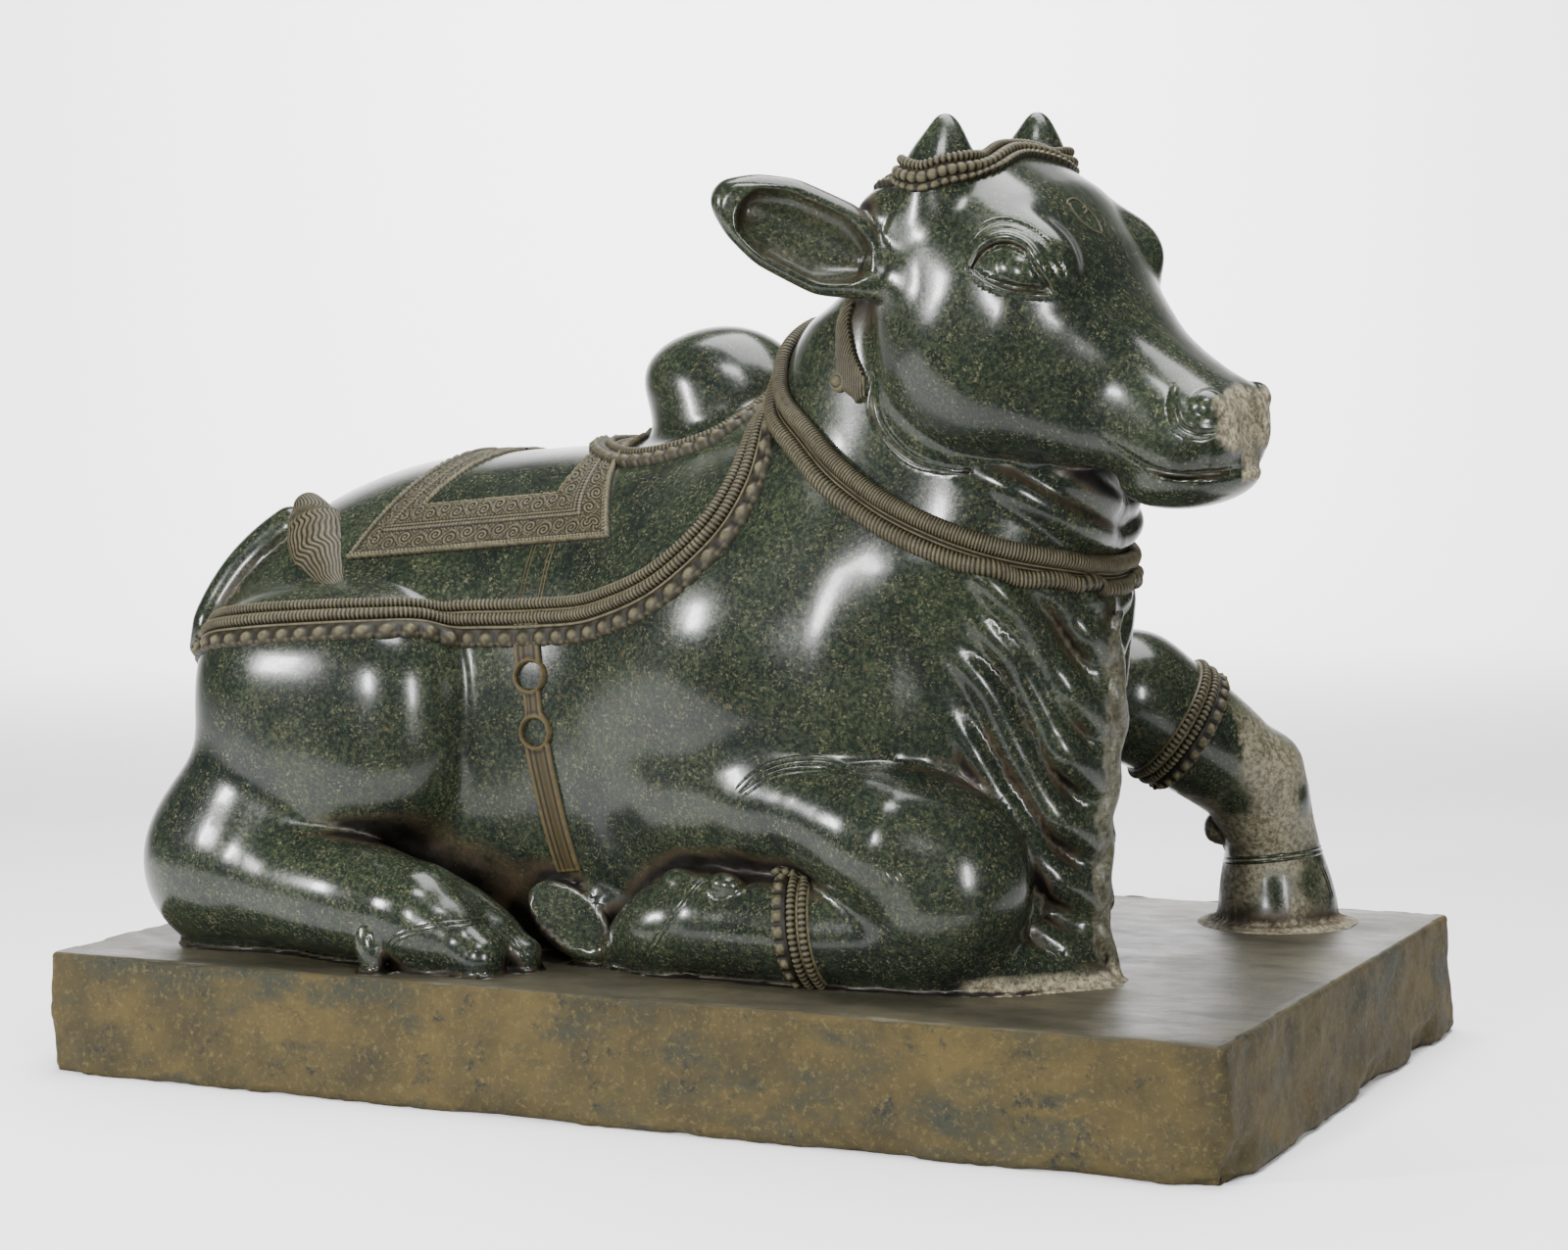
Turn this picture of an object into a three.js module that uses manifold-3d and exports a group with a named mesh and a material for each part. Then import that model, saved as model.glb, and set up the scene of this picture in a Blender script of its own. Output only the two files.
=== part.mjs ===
// A recumbent temple bull and the slab it lies on, carved as one from a block of dark green stone.
// Millimetres, +Z up. The origin lies on the slab's underside, below the middle of the whole outline,
// +X runs towards the bull's muzzle and -Y is its right flank, the side that its head turns to a little.
//
// The figure is a free form. It is described as a field: a function that gives, for any point, about how
// far that point lies outside the stone. Limbs are tubes of changing radius, the trunk, the neck and the
// head are lofts of changing section, and a smooth minimum joins them as the carver's rounded
// transitions do. The field is then walked by marching cubes and thinned by edge collapses.
import * as THREE from "three";
import { edgeTable, triTable } from "three/addons/objects/MarchingCubes.js";
import { mergeVertices } from "three/addons/utils/BufferGeometryUtils.js";
import Module from "manifold-3d";

// Driving size of the bull. Its pose and carving are shares of its height above the slab.
const BULL_HEIGHT = 722;
const BULL_SINK = 14; // how deep the figure's stone runs into the slab, so that both are one

// Driving sizes of the slab: its height, and the stone that it leaves around the bull's footprint.
const SLAB_HEIGHT = 108;
const REAR_MARGIN = 10;
const FRONT_MARGIN = 76; // from the far forefoot, about as far as the muzzle reaches
const RIGHT_MARGIN = 7;
const LEFT_MARGIN = 34;
const SLAB_EDGE_WEAR = 7;

// Fineness of the faceted surface.
const CELL = 7;
const FIGURE_TRIANGLES = 8600;

// One unit of the figure's own drawing, in which the bull stands 722 above the slab.
const DRAWN_HEIGHT = 722;
const UNIT = BULL_HEIGHT / DRAWN_HEIGHT;

// The footprint in that drawing: rump, far forefoot, and the outer edges of both hind feet.
const FOOTPRINT = { rear: -540, front: 474, right: -323, left: 283 };

// Small tools for numbers.
const clamp = (value, low, high) => Math.min(high, Math.max(low, value));
const mix = (a, b, t) => a + (b - a) * t;
const radians = (degrees) => (degrees * Math.PI) / 180;

// A smooth line through [place, value] pairs, level beyond both ends.
function profile(pairs) {
  const places = pairs.map((pair) => pair[0]);
  const values = pairs.map((pair) => pair[1]);
  const last = places.length - 1;
  const slopes = values.map((value, i) => {
    if (i === 0 || i === last) return 0;
    const before = (value - values[i - 1]) / (places[i] - places[i - 1]);
    const after = (values[i + 1] - value) / (places[i + 1] - places[i]);
    return before * after <= 0 ? 0 : (2 * before * after) / (before + after);
  });
  return (place) => {
    if (place <= places[0]) return values[0];
    if (place >= places[last]) return values[last];
    let i = 0;
    while (place > places[i + 1]) i++;
    const width = places[i + 1] - places[i];
    const t = (place - places[i]) / width;
    const rise = t * t * (3 - 2 * t);
    const leaving = slopes[i] * t * (1 - t) * (1 - t);
    const arriving = slopes[i + 1] * t * t * (t - 1);
    return mix(values[i], values[i + 1], rise) + (leaving + arriving) * width;
  };
}

// Joins and cuts of two distances, rounded over the length k.
const smoothMin = (a, b, k) => {
  const h = Math.max(k - Math.abs(a - b), 0) / k;
  return Math.min(a, b) - h * h * k * 0.25;
};
const smoothMax = (a, b, k) => -smoothMin(-a, -b, k);

// A form is { distance(x, y, z), centre, reach }: reach is the radius of a ball that holds it.
// An ellipsoid, or with a power above 2 a boxier one, turned by [x, y, z] degrees.
function ellipsoid(centre, radii, turn = [0, 0, 0], power = 2) {
  const [cx, cy, cz] = centre;
  const [rx, ry, rz] = radii;
  const euler = new THREE.Euler(...turn.map(radians));
  const m = new THREE.Matrix4().makeRotationFromEuler(euler).elements;
  const least = Math.min(rx, ry, rz);
  return {
    centre,
    reach: Math.max(rx, ry, rz) * (power > 2 ? 1.25 : 1),
    distance(x, y, z) {
      const dx = x - cx;
      const dy = y - cy;
      const dz = z - cz;
      const a = Math.abs(m[0] * dx + m[1] * dy + m[2] * dz) / rx;
      const b = Math.abs(m[4] * dx + m[5] * dy + m[6] * dz) / ry;
      const c = Math.abs(m[8] * dx + m[9] * dy + m[10] * dz) / rz;
      if (power === 2) {
        const near = Math.hypot(a, b, c);
        if (near < 0.2) return (near - 1) * least;
        return ((near - 1) * near) / Math.hypot(a / rx, b / ry, c / rz);
      }
      const near = (a ** power + b ** power + c ** power) ** (1 / power);
      if (near < 0.2) return (near - 1) * least;
      const p = power - 1;
      return ((near - 1) * near ** p) / Math.hypot(a ** p / rx, b ** p / ry, c ** p / rz);
    },
  };
}

// A tube along a smooth curve through [x, y, z, radius] stations. Its section is `flat` times as wide
// in Y as it is tall.
function tube(stations, flat = 1, steps = 4) {
  const points = stations.map(([x, y, z]) => new THREE.Vector3(x, y / flat, z));
  const curve = new THREE.CatmullRomCurve3(points, false, "centripetal");
  const spans = points.length - 1;
  const radius = profile(stations.map((station, i) => [i, station[3]]));
  const count = spans * steps;
  const path = [];
  for (let i = 0; i <= count; i++) {
    const p = curve.getPoint(i / count);
    path.push([p.x, p.y, p.z, radius(i / steps)]);
  }
  return tubeOf(path, flat);
}
function tubeOf(path, flat = 1) {
  const count = path.length - 1;
  const box = new THREE.Box3();
  path.forEach(([x, y, z, r]) => {
    box.expandByPoint(new THREE.Vector3(x - r, (y - r) * flat, z - r));
    box.expandByPoint(new THREE.Vector3(x + r, (y + r) * flat, z + r));
  });
  const ball = box.getBoundingSphere(new THREE.Sphere());
  const shrink = Math.min(1, flat);
  return {
    centre: ball.center.toArray(),
    reach: ball.radius,
    distance(x, y, z) {
      let best = Infinity;
      for (let i = 0; i < count; i++) {
        const a = path[i];
        const b = path[i + 1];
        const ux = b[0] - a[0];
        const uy = b[1] - a[1];
        const uz = b[2] - a[2];
        const wx = x - a[0];
        const wy = y / flat - a[1];
        const wz = z - a[2];
        const t = clamp((wx * ux + wy * uy + wz * uz) / (ux * ux + uy * uy + uz * uz), 0, 1);
        const d = Math.hypot(wx - t * ux, wy - t * uy, wz - t * uz) - mix(a[3], b[3], t);
        if (d < best) best = d;
      }
      return best * shrink;
    },
  };
}

// A loft along one axis whose section is a superellipse: `low` and `high` bound it one way, `side` is
// its half width the other way about `middle`.
function loft({ from, to, low, high, side, middle, power, centre, reach, axes }) {
  return {
    centre,
    reach,
    distance(x, y, z) {
      const [s, t, w] = axes(x, y, z);
      const at = clamp(s, from, to);
      const bottom = low(at);
      const top = high(at);
      const tall = (top - bottom) / 2;
      const wide = side(at);
      const b = Math.abs(t - (top + bottom) / 2) / tall;
      const a = Math.abs(w - middle(at)) / wide;
      const near = (a ** power + b ** power) ** (1 / power);
      const p = power - 1;
      const slope = Math.hypot(a ** p / wide, b ** p / tall) / near ** p;
      const across = (near - 1) / (near < 0.3 ? 1 / Math.min(wide, tall) : slope);
      const beyond = Math.max(from - s, s - to);
      return smoothMax(across, beyond, 24);
    },
  };
}

// Adds forms one by one to the first, each blended over its own length. `low` and `high` bound them all,
// and `within` gives the same field made of only the forms that matter inside a ball.
function blended(forms) {
  const low = [0, 1, 2].map((i) => Math.min(...forms.map(([f]) => f.centre[i] - f.reach)));
  const high = [0, 1, 2].map((i) => Math.max(...forms.map(([f]) => f.centre[i] + f.reach)));
  const gap = ([form, k], x, y, z) => {
    const [cx, cy, cz] = form.centre;
    return Math.hypot(x - cx, y - cy, z - cz) - form.reach - k;
  };
  const over = (chosen) => (x, y, z) => {
    let best = 1e6;
    for (const entry of chosen) {
      if (gap(entry, x, y, z) > best) continue;
      const value = entry[0].distance(x, y, z);
      best = entry[1] > 0 ? smoothMin(best, value, entry[1]) : Math.min(best, value);
    }
    return best;
  };
  return {
    low,
    high,
    centre: low.map((value, i) => (value + high[i]) / 2),
    reach: Math.hypot(...low.map((value, i) => (high[i] - value) / 2)),
    distance: over(forms),
    within(middle, radius) {
      return over(forms.filter((entry) => gap(entry, ...middle) < radius * 2.6 + 20));
    },
  };
}

// The trunk: sections across X, from the rump to the chest.
const trunk = loft({
  from: -506,
  to: 285,
  low: () => -60,
  high: profile([
    [-506, 283], [-490, 318], [-445, 372], [-380, 414], [-300, 434], [-200, 441], [-100, 448],
    [0, 468], [90, 496], [170, 500], [230, 440], [285, 330],
  ]),
  side: profile([
    [-506, 110], [-490, 142], [-440, 198], [-350, 230], [-250, 222], [-130, 205], [-20, 218],
    [80, 214], [160, 202], [230, 160], [285, 60],
  ]),
  middle: profile([[0, 0], [285, -45]]),
  power: 2.3,
  centre: [-130, 0, 200],
  reach: 560,
  axes: (x, y, z) => [x, z, y],
});

// The neck: level sections, from the chest up to the poll.
const neck = loft({
  from: 20,
  to: 625,
  low: profile([
    [20, 40], [250, 40], [340, 58], [400, 72], [460, 86], [520, 103], [545, 120], [565, 147], [590, 172],
    [625, 198],
  ]),
  high: profile([
    [20, 300], [150, 322], [250, 345], [340, 376], [400, 384], [460, 388], [520, 380], [580, 330],
    [625, 280],
  ]),
  side: profile([
    [20, 92], [150, 116], [250, 145], [340, 134], [400, 114], [460, 104], [520, 96], [580, 84],
    [625, 50],
  ]),
  middle: profile([[20, -88], [150, -86], [250, -66], [340, -85], [400, -100], [520, -112], [625, -115]]),
  power: 2.2,
  centre: [220, -90, 325],
  reach: 370,
  axes: (x, y, z) => [z, x, y],
});

// The head has its own frame: u forward, v to the left and z up, turned a little to the right flank.
// Everything in it is the same on both sides.
const HEAD_TURN = radians(-8);
const HEAD_SPOT = [200, -123];
const HEAD_TILT = 0.07; // the right side of the head is a little lower
const [TURN_COS, TURN_SIN] = [Math.cos(HEAD_TURN), Math.sin(HEAD_TURN)];
const toHead = (x, y) => {
  const dx = x - HEAD_SPOT[0];
  const dy = y - HEAD_SPOT[1];
  return [dx * TURN_COS + dy * TURN_SIN, dy * TURN_COS - dx * TURN_SIN];
};
const fromHead = (u, v, z) => [
  HEAD_SPOT[0] + u * TURN_COS - v * TURN_SIN,
  HEAD_SPOT[1] + u * TURN_SIN + v * TURN_COS,
  z,
];

// The skull is a loft along a line that falls 30 degrees from the poll to the muzzle.
const FALL = radians(30);
const skull = loft({
  from: -40,
  to: 294,
  high: profile([
    [-40, 72], [-22, 98], [0, 108], [51, 107], [106, 88], [154, 61], [202, 45], [244, 40], [270, 38],
    [286, 26], [294, 8],
  ]),
  low: profile([
    [-40, -10], [-13, -61], [17, -88], [50, -106], [99, -110], [143, -96], [191, -78], [233, -62],
    [277, -52], [294, -30],
  ]),
  side: profile([
    [-40, 62], [-20, 100], [20, 112], [60, 117], [100, 112], [150, 90], [200, 67], [244, 57], [270, 56],
    [286, 46], [294, 32],
  ]),
  middle: () => 0,
  power: 2.7,
  centre: [180, 0, 535],
  reach: 230,
  axes: (u, v, z) => {
    const du = u - 60;
    const dz = z - 590;
    return [du * Math.cos(FALL) - dz * Math.sin(FALL), du * Math.sin(FALL) + dz * Math.cos(FALL), v];
  },
});

// An ear: a leaf with a hollow, from its root to its tip, its hollow facing `open`.
const EAR_ROOT = new THREE.Vector3(64, -92, 580);
const EAR_TIP = new THREE.Vector3(-73, -170, 665);
const EAR_OPEN = new THREE.Vector3(0.5, -0.86, -0.05);
function leafEar() {
  const along = EAR_TIP.clone().sub(EAR_ROOT);
  const length = along.length();
  along.normalize();
  const open = EAR_OPEN.clone().addScaledVector(along, -EAR_OPEN.dot(along)).normalize();
  const across = along.clone().cross(open);
  const half = profile([[0, 17], [30, 27], [70, 39], [110, 37], [150, 23], [168, 11], [178, 4]]);
  const hollow = profile([[22, 1], [38, 15], [70, 28], [110, 26], [145, 13], [160, 2]]);
  const middle = EAR_ROOT.clone().addScaledVector(along, length / 2);
  return {
    centre: middle.toArray(),
    reach: length / 2 + 40,
    distance(u, v, z) {
      const p = new THREE.Vector3(u, v, z).sub(EAR_ROOT);
      const a = p.dot(along);
      const b = p.dot(open);
      const c = p.dot(across);
      const at = clamp(a, 0, 176);
      const w = half(at);
      const thick = Math.min(w, 20);
      const outer = (Math.hypot(c / w, (b + 6) / thick) - 1) * thick;
      const shell = smoothMax(outer, Math.max(a - 176, -a), 6);
      const h = hollow(at);
      const cup = (Math.hypot(c / h, (b - 14) / 18) - 1) * Math.min(h, 18) * 0.8;
      return smoothMax(smoothMax(shell, -cup, 4), b - 11, 5);
    },
  };
}

const muzzle = [
  [ellipsoid([256, 0, 460], [66, 59, 38], [0, 20, 0]), 24],
  [ellipsoid([290, -28, 455], [34, 27, 31]), 16],
  [ellipsoid([272, 0, 417], [56, 50, 25], [0, -4, 0]), 8],
];
const faceForms = [
  [skull, 0],
  ...muzzle,
  [ellipsoid([168, -73, 596], [44, 26, 34], [0, 25, 0]), 14],
  [ellipsoid([177, -83, 593], [27, 19, 20], [0, 20, 0]), 3],
  [tube([[89, -76, 664, 30], [89, -76, 690, 18], [89, -72, 712, 9]]), 10],
  [tube([[60, -70, 575, 34], [60, -98, 588, 24], [38, -110, 600, 20], [15, -122, 612, 18]]), 12],
  [leafEar(), 5],
];
const face = blended(faceForms);
const mouth = tube([
  [222, -72, 444, 4], [248, -64, 431, 5], [278, -55, 422, 5], [308, -42, 419, 5], [330, -14, 421, 5],
  [332, 0, 421, 5],
]);
const nostril = tube([[284, -52, 484, 4], [279, -57, 473, 4], [286, -57, 462, 4], [300, -52, 457, 4]]);
const head = {
  centre: fromHead(face.centre[0], 0, face.centre[2]),
  reach: face.reach + Math.abs(face.centre[1]),
  distance(x, y, z) {
    const [u, v] = toHead(x, y);
    const side = -Math.abs(v);
    const up = z - HEAD_TILT * v;
    let d = face.distance(u, side, up);
    if (d < 30) {
      d = smoothMax(d, -mouth.distance(u, side, up), 4);
      d = smoothMax(d, -nostril.distance(u, side, up), 3);
    }
    return d;
  },
};

// The dewlap: a keel from the throat to the slab. Each level is a wedge that thins to the front edge.
const DEWLAP_EDGE = profile([
  [-20, 392], [15, 374], [80, 372], [138, 376], [187, 383], [244, 388], [293, 394], [340, 410],
]);
const dewlap = {
  centre: [260, -80, 160],
  reach: 300,
  distance(x, y, z) {
    const level = clamp(z, -20, 350);
    const edge = DEWLAP_EDGE(level);
    const back = edge - x;
    const spread = 14 + 92 * (1 - Math.exp(-Math.max(back, 0) / 90));
    const wave = 4 * Math.sin(level / 8) * Math.exp(-Math.max(back, 0) / 30);
    const middle = -110 + 0.32 * Math.max(back, 0) + wave;
    const side = (Math.abs(y - middle) - spread) * 0.75;
    const front = x - edge;
    const rear = 120 - x;
    const d = smoothMax(smoothMax(side, front, 14), rear, 30);
    return smoothMax(d, z - 330, 80);
  },
};

// Stations of the planted far forefoot, from the fetlock to the rim of its hoof.
const FAR_HOOF = [
  [408, 202, 110, 42], [412, 216, 78, 42], [414, 222, 40, 50], [416, 224, 6, 58], [416, 224, -16, 58],
];

const bodyForms = [
  [trunk, 0],
  [ellipsoid([-385, -88, 195], [126, 158, 172]), 40],
  [ellipsoid([-385, 88, 185], [130, 158, 178]), 40],
  [ellipsoid([-440, 0, 150], [98, 160, 205]), 36],
  [ellipsoid([-322, -150, 207], [147, 132, 124], [0, 0, 0], 2.8), 18],
  [ellipsoid([-300, 150, 150], [150, 110, 140]), 40],
  [ellipsoid([85, -118, 268], [150, 126, 150]), 50],
  [ellipsoid([85, 118, 262], [150, 122, 155]), 50],
  [neck, 45],
  [dewlap, 30],
  [ellipsoid([-18, 0, 462], [78, 70, 84], [0, -6, 0]), 14],
  [ellipsoid([-40, 0, 502], [64, 60, 44], [0, 0, 0]), 18],
  [tube([[18, -182, 154, 56], [70, -196, 148, 48], [150, -206, 146, 50], [225, -204, 120, 66]]), 12],
  [ellipsoid([258, -192, 84], [80, 66, 88]), 16],
  [tube([[250, -192, 50, 52], [170, -210, 44, 45], [110, -216, 45, 43], [62, -216, 45, 42]]), 8],
  [tube([[66, -214, 50, 40], [20, -212, 38, 40], [-20, -208, 22, 26], [-36, -206, 12, 14]]), 6],
  [ellipsoid([-425, -212, 74], [78, 70, 80]), 26],
  [tube([[-425, -215, 74, 72], [-340, -245, 62, 58], [-260, -262, 54, 52], [-196, -268, 46, 44]]), 8],
  [tube([[-200, -268, 42, 44], [-160, -272, 28, 36], [-128, -280, 14, 22]]), 6],
  [tube([[-180, -250, 40, 36], [-130, -248, 22, 26], [-104, -247, 12, 16]]), 6],
  [tube([[-206, -298, 34, 12], [-222, -312, 10, 11]]), 4],
  [tube([[40, -120, 36, 26], [-10, -158, 50, 24], [-60, -176, 52, 22]]), 8],
  [ellipsoid([-86, -184, 38], [46, 27, 25], [0, 38, 0]), 6],
  [tube([[150, 70, 205, 64], [250, 95, 210, 56], [316, 118, 216, 54]]), 20],
  [tube([[312, 118, 214, 55], [358, 150, 178, 50], [392, 180, 143, 46], [408, 200, 112, 43]]), 12],
  [ellipsoid([415, 200, 142], [32, 34, 34]), 14],
  [ellipsoid([366, 200, 86], [12, 12, 15]), 4],
  [tube(FAR_HOOF), 10],
  [ellipsoid([242, -122, 612], [58, 88, 54], [0, 0, -8]), 36],
  [head, 16],
];
const body = blended(bodyForms);

// Ornaments lie on the stone: each key point is brought to the surface along the field's slope.
const slopeOf = (x, y, z) => {
  const e = 1.5;
  const f = body.distance;
  const slope = new THREE.Vector3(
    f(x + e, y, z) - f(x - e, y, z),
    f(x, y + e, z) - f(x, y - e, z),
    f(x, y, z + e) - f(x, y, z - e),
  );
  return slope.multiplyScalar(1 / (2 * e));
};
function settle(point, lift = 0) {
  for (let i = 0; i < 4; i++) {
    const slope = slopeOf(point.x, point.y, point.z);
    const gap = body.distance(point.x, point.y, point.z) - lift;
    point.addScaledVector(slope, clamp(-gap / Math.max(slope.lengthSq(), 0.1), -30, 30));
  }
  return point;
}

// A cord of the given radius laid over the surface along key points, shifted sideways by `aside`.
// It comes as a list of forms, each a short run of the cord.
function cord(keys, radius, { aside = 0, lift = 0, closed = false, pitch = 16 } = {}) {
  const curve = new THREE.CatmullRomCurve3(keys.map((k) => new THREE.Vector3(...k)), closed, "centripetal");
  const count = Math.ceil(curve.getLength() / pitch);
  const path = [];
  for (let i = 0; i <= count; i++) {
    const point = settle(curve.getPointAt(i / count));
    const along = curve.getTangentAt(i / count);
    const out = slopeOf(point.x, point.y, point.z).normalize();
    point.addScaledVector(out.cross(along).normalize(), aside);
    settle(point, typeof lift === "function" ? lift(i / count) : lift);
    path.push([point.x, point.y, point.z, typeof radius === "function" ? radius(i / count) : radius]);
  }
  const run = 5;
  const forms = [];
  for (let i = 0; i < count; i += run) forms.push(tubeOf(path.slice(i, i + run + 1)));
  return forms;
}

// The long garland hangs over the shoulder, runs along the flank and round the rump. Both flanks match.
const GARLAND = [
  [52, -34, 492], [76, -100, 478], [84, -154, 445], [79, -190, 409], [61, -215, 373], [18, -223, 336],
  [-48, -207, 310], [-124, -193, 298], [-198, -203, 293], [-255, -240, 296], [-329, -252, 296],
  [-397, -246, 290], [-455, -205, 278], [-510, -100, 268], [-526, 0, 264],
];
// A shorter one rings the foot of the hump.
const HUMP_GARLAND = [
  [46, -33, 491], [37, -60, 478], [19, -95, 456], [-24, -106, 440], [-81, -92, 434], [-125, -52, 441],
  [-142, 0, 446],
];
const otherFlank = (keys) => keys.map(([x, y, z]) => [x, -y, z]);
// The collar is a pair of twisted ropes round the foot of the neck.
const COLLAR = [
  [104, -90, 548], [96, -128, 530], [102, -152, 500], [118, -168, 474], [147, -192, 449], [177, -209, 421],
  [215, -214, 395], [258, -215, 374], [305, -204, 356], [344, -175, 345], [372, -140, 338], [386, -100, 336],
];
const NECK_MIDDLE = -90;
const collarRing = [
  ...COLLAR,
  ...COLLAR.slice(1, -1).reverse().map(([x, y, z]) => [x, 2 * NECK_MIDDLE - y, z]),
];
// The girth strap comes down the flank from the saddle cloth.
const GIRTH = [
  [-124, -168, 352], [-126, -191, 306], [-124, -198, 277], [-116, -204, 233], [-110, -206, 187],
  [-100, -205, 138], [-88, -193, 77],
];
// The folds of the dewlap sweep down to its front edge.
const FOLDS = [
  [[350, -145, 335], [362, -135, 322], [376, -122, 306]],
  [[325, -172, 338], [348, -152, 320], [362, -136, 296], [374, -124, 272]],
  [
    [275, -208, 352], [299, -198, 341], [326, -174, 307], [345, -150, 263], [360, -136, 234],
    [372, -124, 214],
  ],
  [
    [285, -200, 318], [303, -187, 295], [320, -168, 268], [335, -153, 231], [350, -144, 196],
    [370, -124, 164],
  ],
  [
    [258, -205, 288], [280, -196, 271], [300, -180, 245], [312, -164, 208], [328, -152, 168],
    [345, -142, 138], [368, -124, 114],
  ],
  [
    [262, -190, 240], [276, -180, 210], [292, -168, 176], [308, -160, 143], [330, -146, 103],
    [350, -134, 80], [368, -122, 62],
  ],
  [[275, -175, 110], [296, -162, 74], [325, -145, 44], [364, -122, 16]],
];
const DEWLAP_MIDDLE = -100;
const trappings = [
  ...[GARLAND, otherFlank(GARLAND)].flatMap((keys, i) => [
    ...cord(keys, 7, { aside: i ? 8 : -8, lift: 1 }),
    ...cord(keys, 8, { aside: i ? -8 : 8, lift: 1 }),
  ]),
  ...[HUMP_GARLAND, otherFlank(HUMP_GARLAND)].flatMap((keys) => cord(keys, 10, { lift: 1 })),
  ...cord(collarRing, 9, { closed: true, aside: 9, lift: 3 }),
  ...cord(collarRing, 9, { closed: true, aside: -9, lift: 3 }),
  ...cord(GIRTH, 9, { lift: -3 }),
];
const FOLD_RADIUS = profile([[0, 7], [0.5, 15], [1, 16]]);
const FOLD_LIFT = profile([[0, -6], [0.5, -5], [1, -6]]);
const folds = FOLDS.flatMap((keys) =>
  [keys, keys.map(([x, y, z]) => [x, 2 * DEWLAP_MIDDLE - y, z])].flatMap((side) =>
    cord(side, FOLD_RADIUS, { lift: FOLD_LIFT }),
  ),
);

// A round band about a limb: rows of tubes side by side along the limb.
function limbBand(centre, axis, radius, rows, thick) {
  const along = new THREE.Vector3(...axis).normalize();
  const side = new THREE.Vector3(0, 0, 1).cross(along).normalize();
  const up = along.clone().cross(side);
  const rings = [];
  for (let row = 0; row < rows; row++) {
    const shift = (row - (rows - 1) / 2) * thick * 1.7;
    const path = [];
    for (let i = 0; i <= 24; i++) {
      const angle = (i / 24) * Math.PI * 2;
      const p = new THREE.Vector3(...centre).addScaledVector(along, shift);
      p.addScaledVector(side, radius * Math.cos(angle)).addScaledVector(up, radius * Math.sin(angle));
      path.push([p.x, p.y, p.z, thick]);
    }
    for (let i = 0; i < 24; i += 6) rings.push(tubeOf(path.slice(i, i + 7)));
  }
  return rings;
}
const limbBands = [
  ...limbBand([151, -212, 44], [1, 0, 0.18], 45, 3, 7),
  ...limbBand([334, 134, 197], [0.7, 0.48, -0.54], 53, 3, 7),
];

// The head band passes under the horns and meets in a knot over the forehead.
const HEAD_BAND = [[46, -98, 640], [66, -102, 652], [104, -101, 660], [122, -62, 671], [113, 0, 686]];
const farHeadBand = HEAD_BAND.slice(0, -1).reverse().map(([u, v, z]) => [u, -v, z]);
const headBand = [...HEAD_BAND, ...farHeadBand].map(([u, v, z]) => fromHead(u, v, z + HEAD_TILT * v));

// The tail comes up over the rump and ends in a tuft on the near hip.
const TAIL = [[-476, -172, 268], [-468, -170, 300], [-446, -160, 337], [-412, -150, 362], [-368, -140, 382]];
const tuft = tube([
  [-374, -140, 380, 20], [-370, -158, 362, 24], [-350, -178, 340, 18], [-322, -205, 316, 6],
]);

// The saddle cloth lies over the back with a raised border, wider at its hem than on the back.
const CLOTH_RISE = 4;
const CLOTH_BORDER = 40;
const cloth = {
  centre: [-190, 0, 390],
  reach: 260,
  distance(x, y, z) {
    const skin = body.distance(x, y, z);
    if (skin > 30) return skin;
    const hem = 345 + 0.08 * (x + 315) - z;
    const rear = -315 + 0.45 * (z - 345) - x;
    const front = x + 51 + 0.55 * (z - 366);
    const outer = Math.max(hem, rear, front);
    const inner = Math.max(hem, rear, front) + CLOTH_BORDER;
    return Math.max(skin - CLOTH_RISE, outer, -inner);
  },
};
const figure = blended([
  ...bodyForms,
  ...folds.map((form) => [form, 9]),
  ...trappings.map((form) => [form, 3]),
  ...cord(headBand, 8, { lift: 1 }).map((form) => [form, 3]),
  ...limbBands.map((form) => [form, 3]),
  ...cord(TAIL, 15, { lift: 6 }).map((form) => [form, 4]),
  [tuft, 4],
  [cloth, 0],
]);

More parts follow.
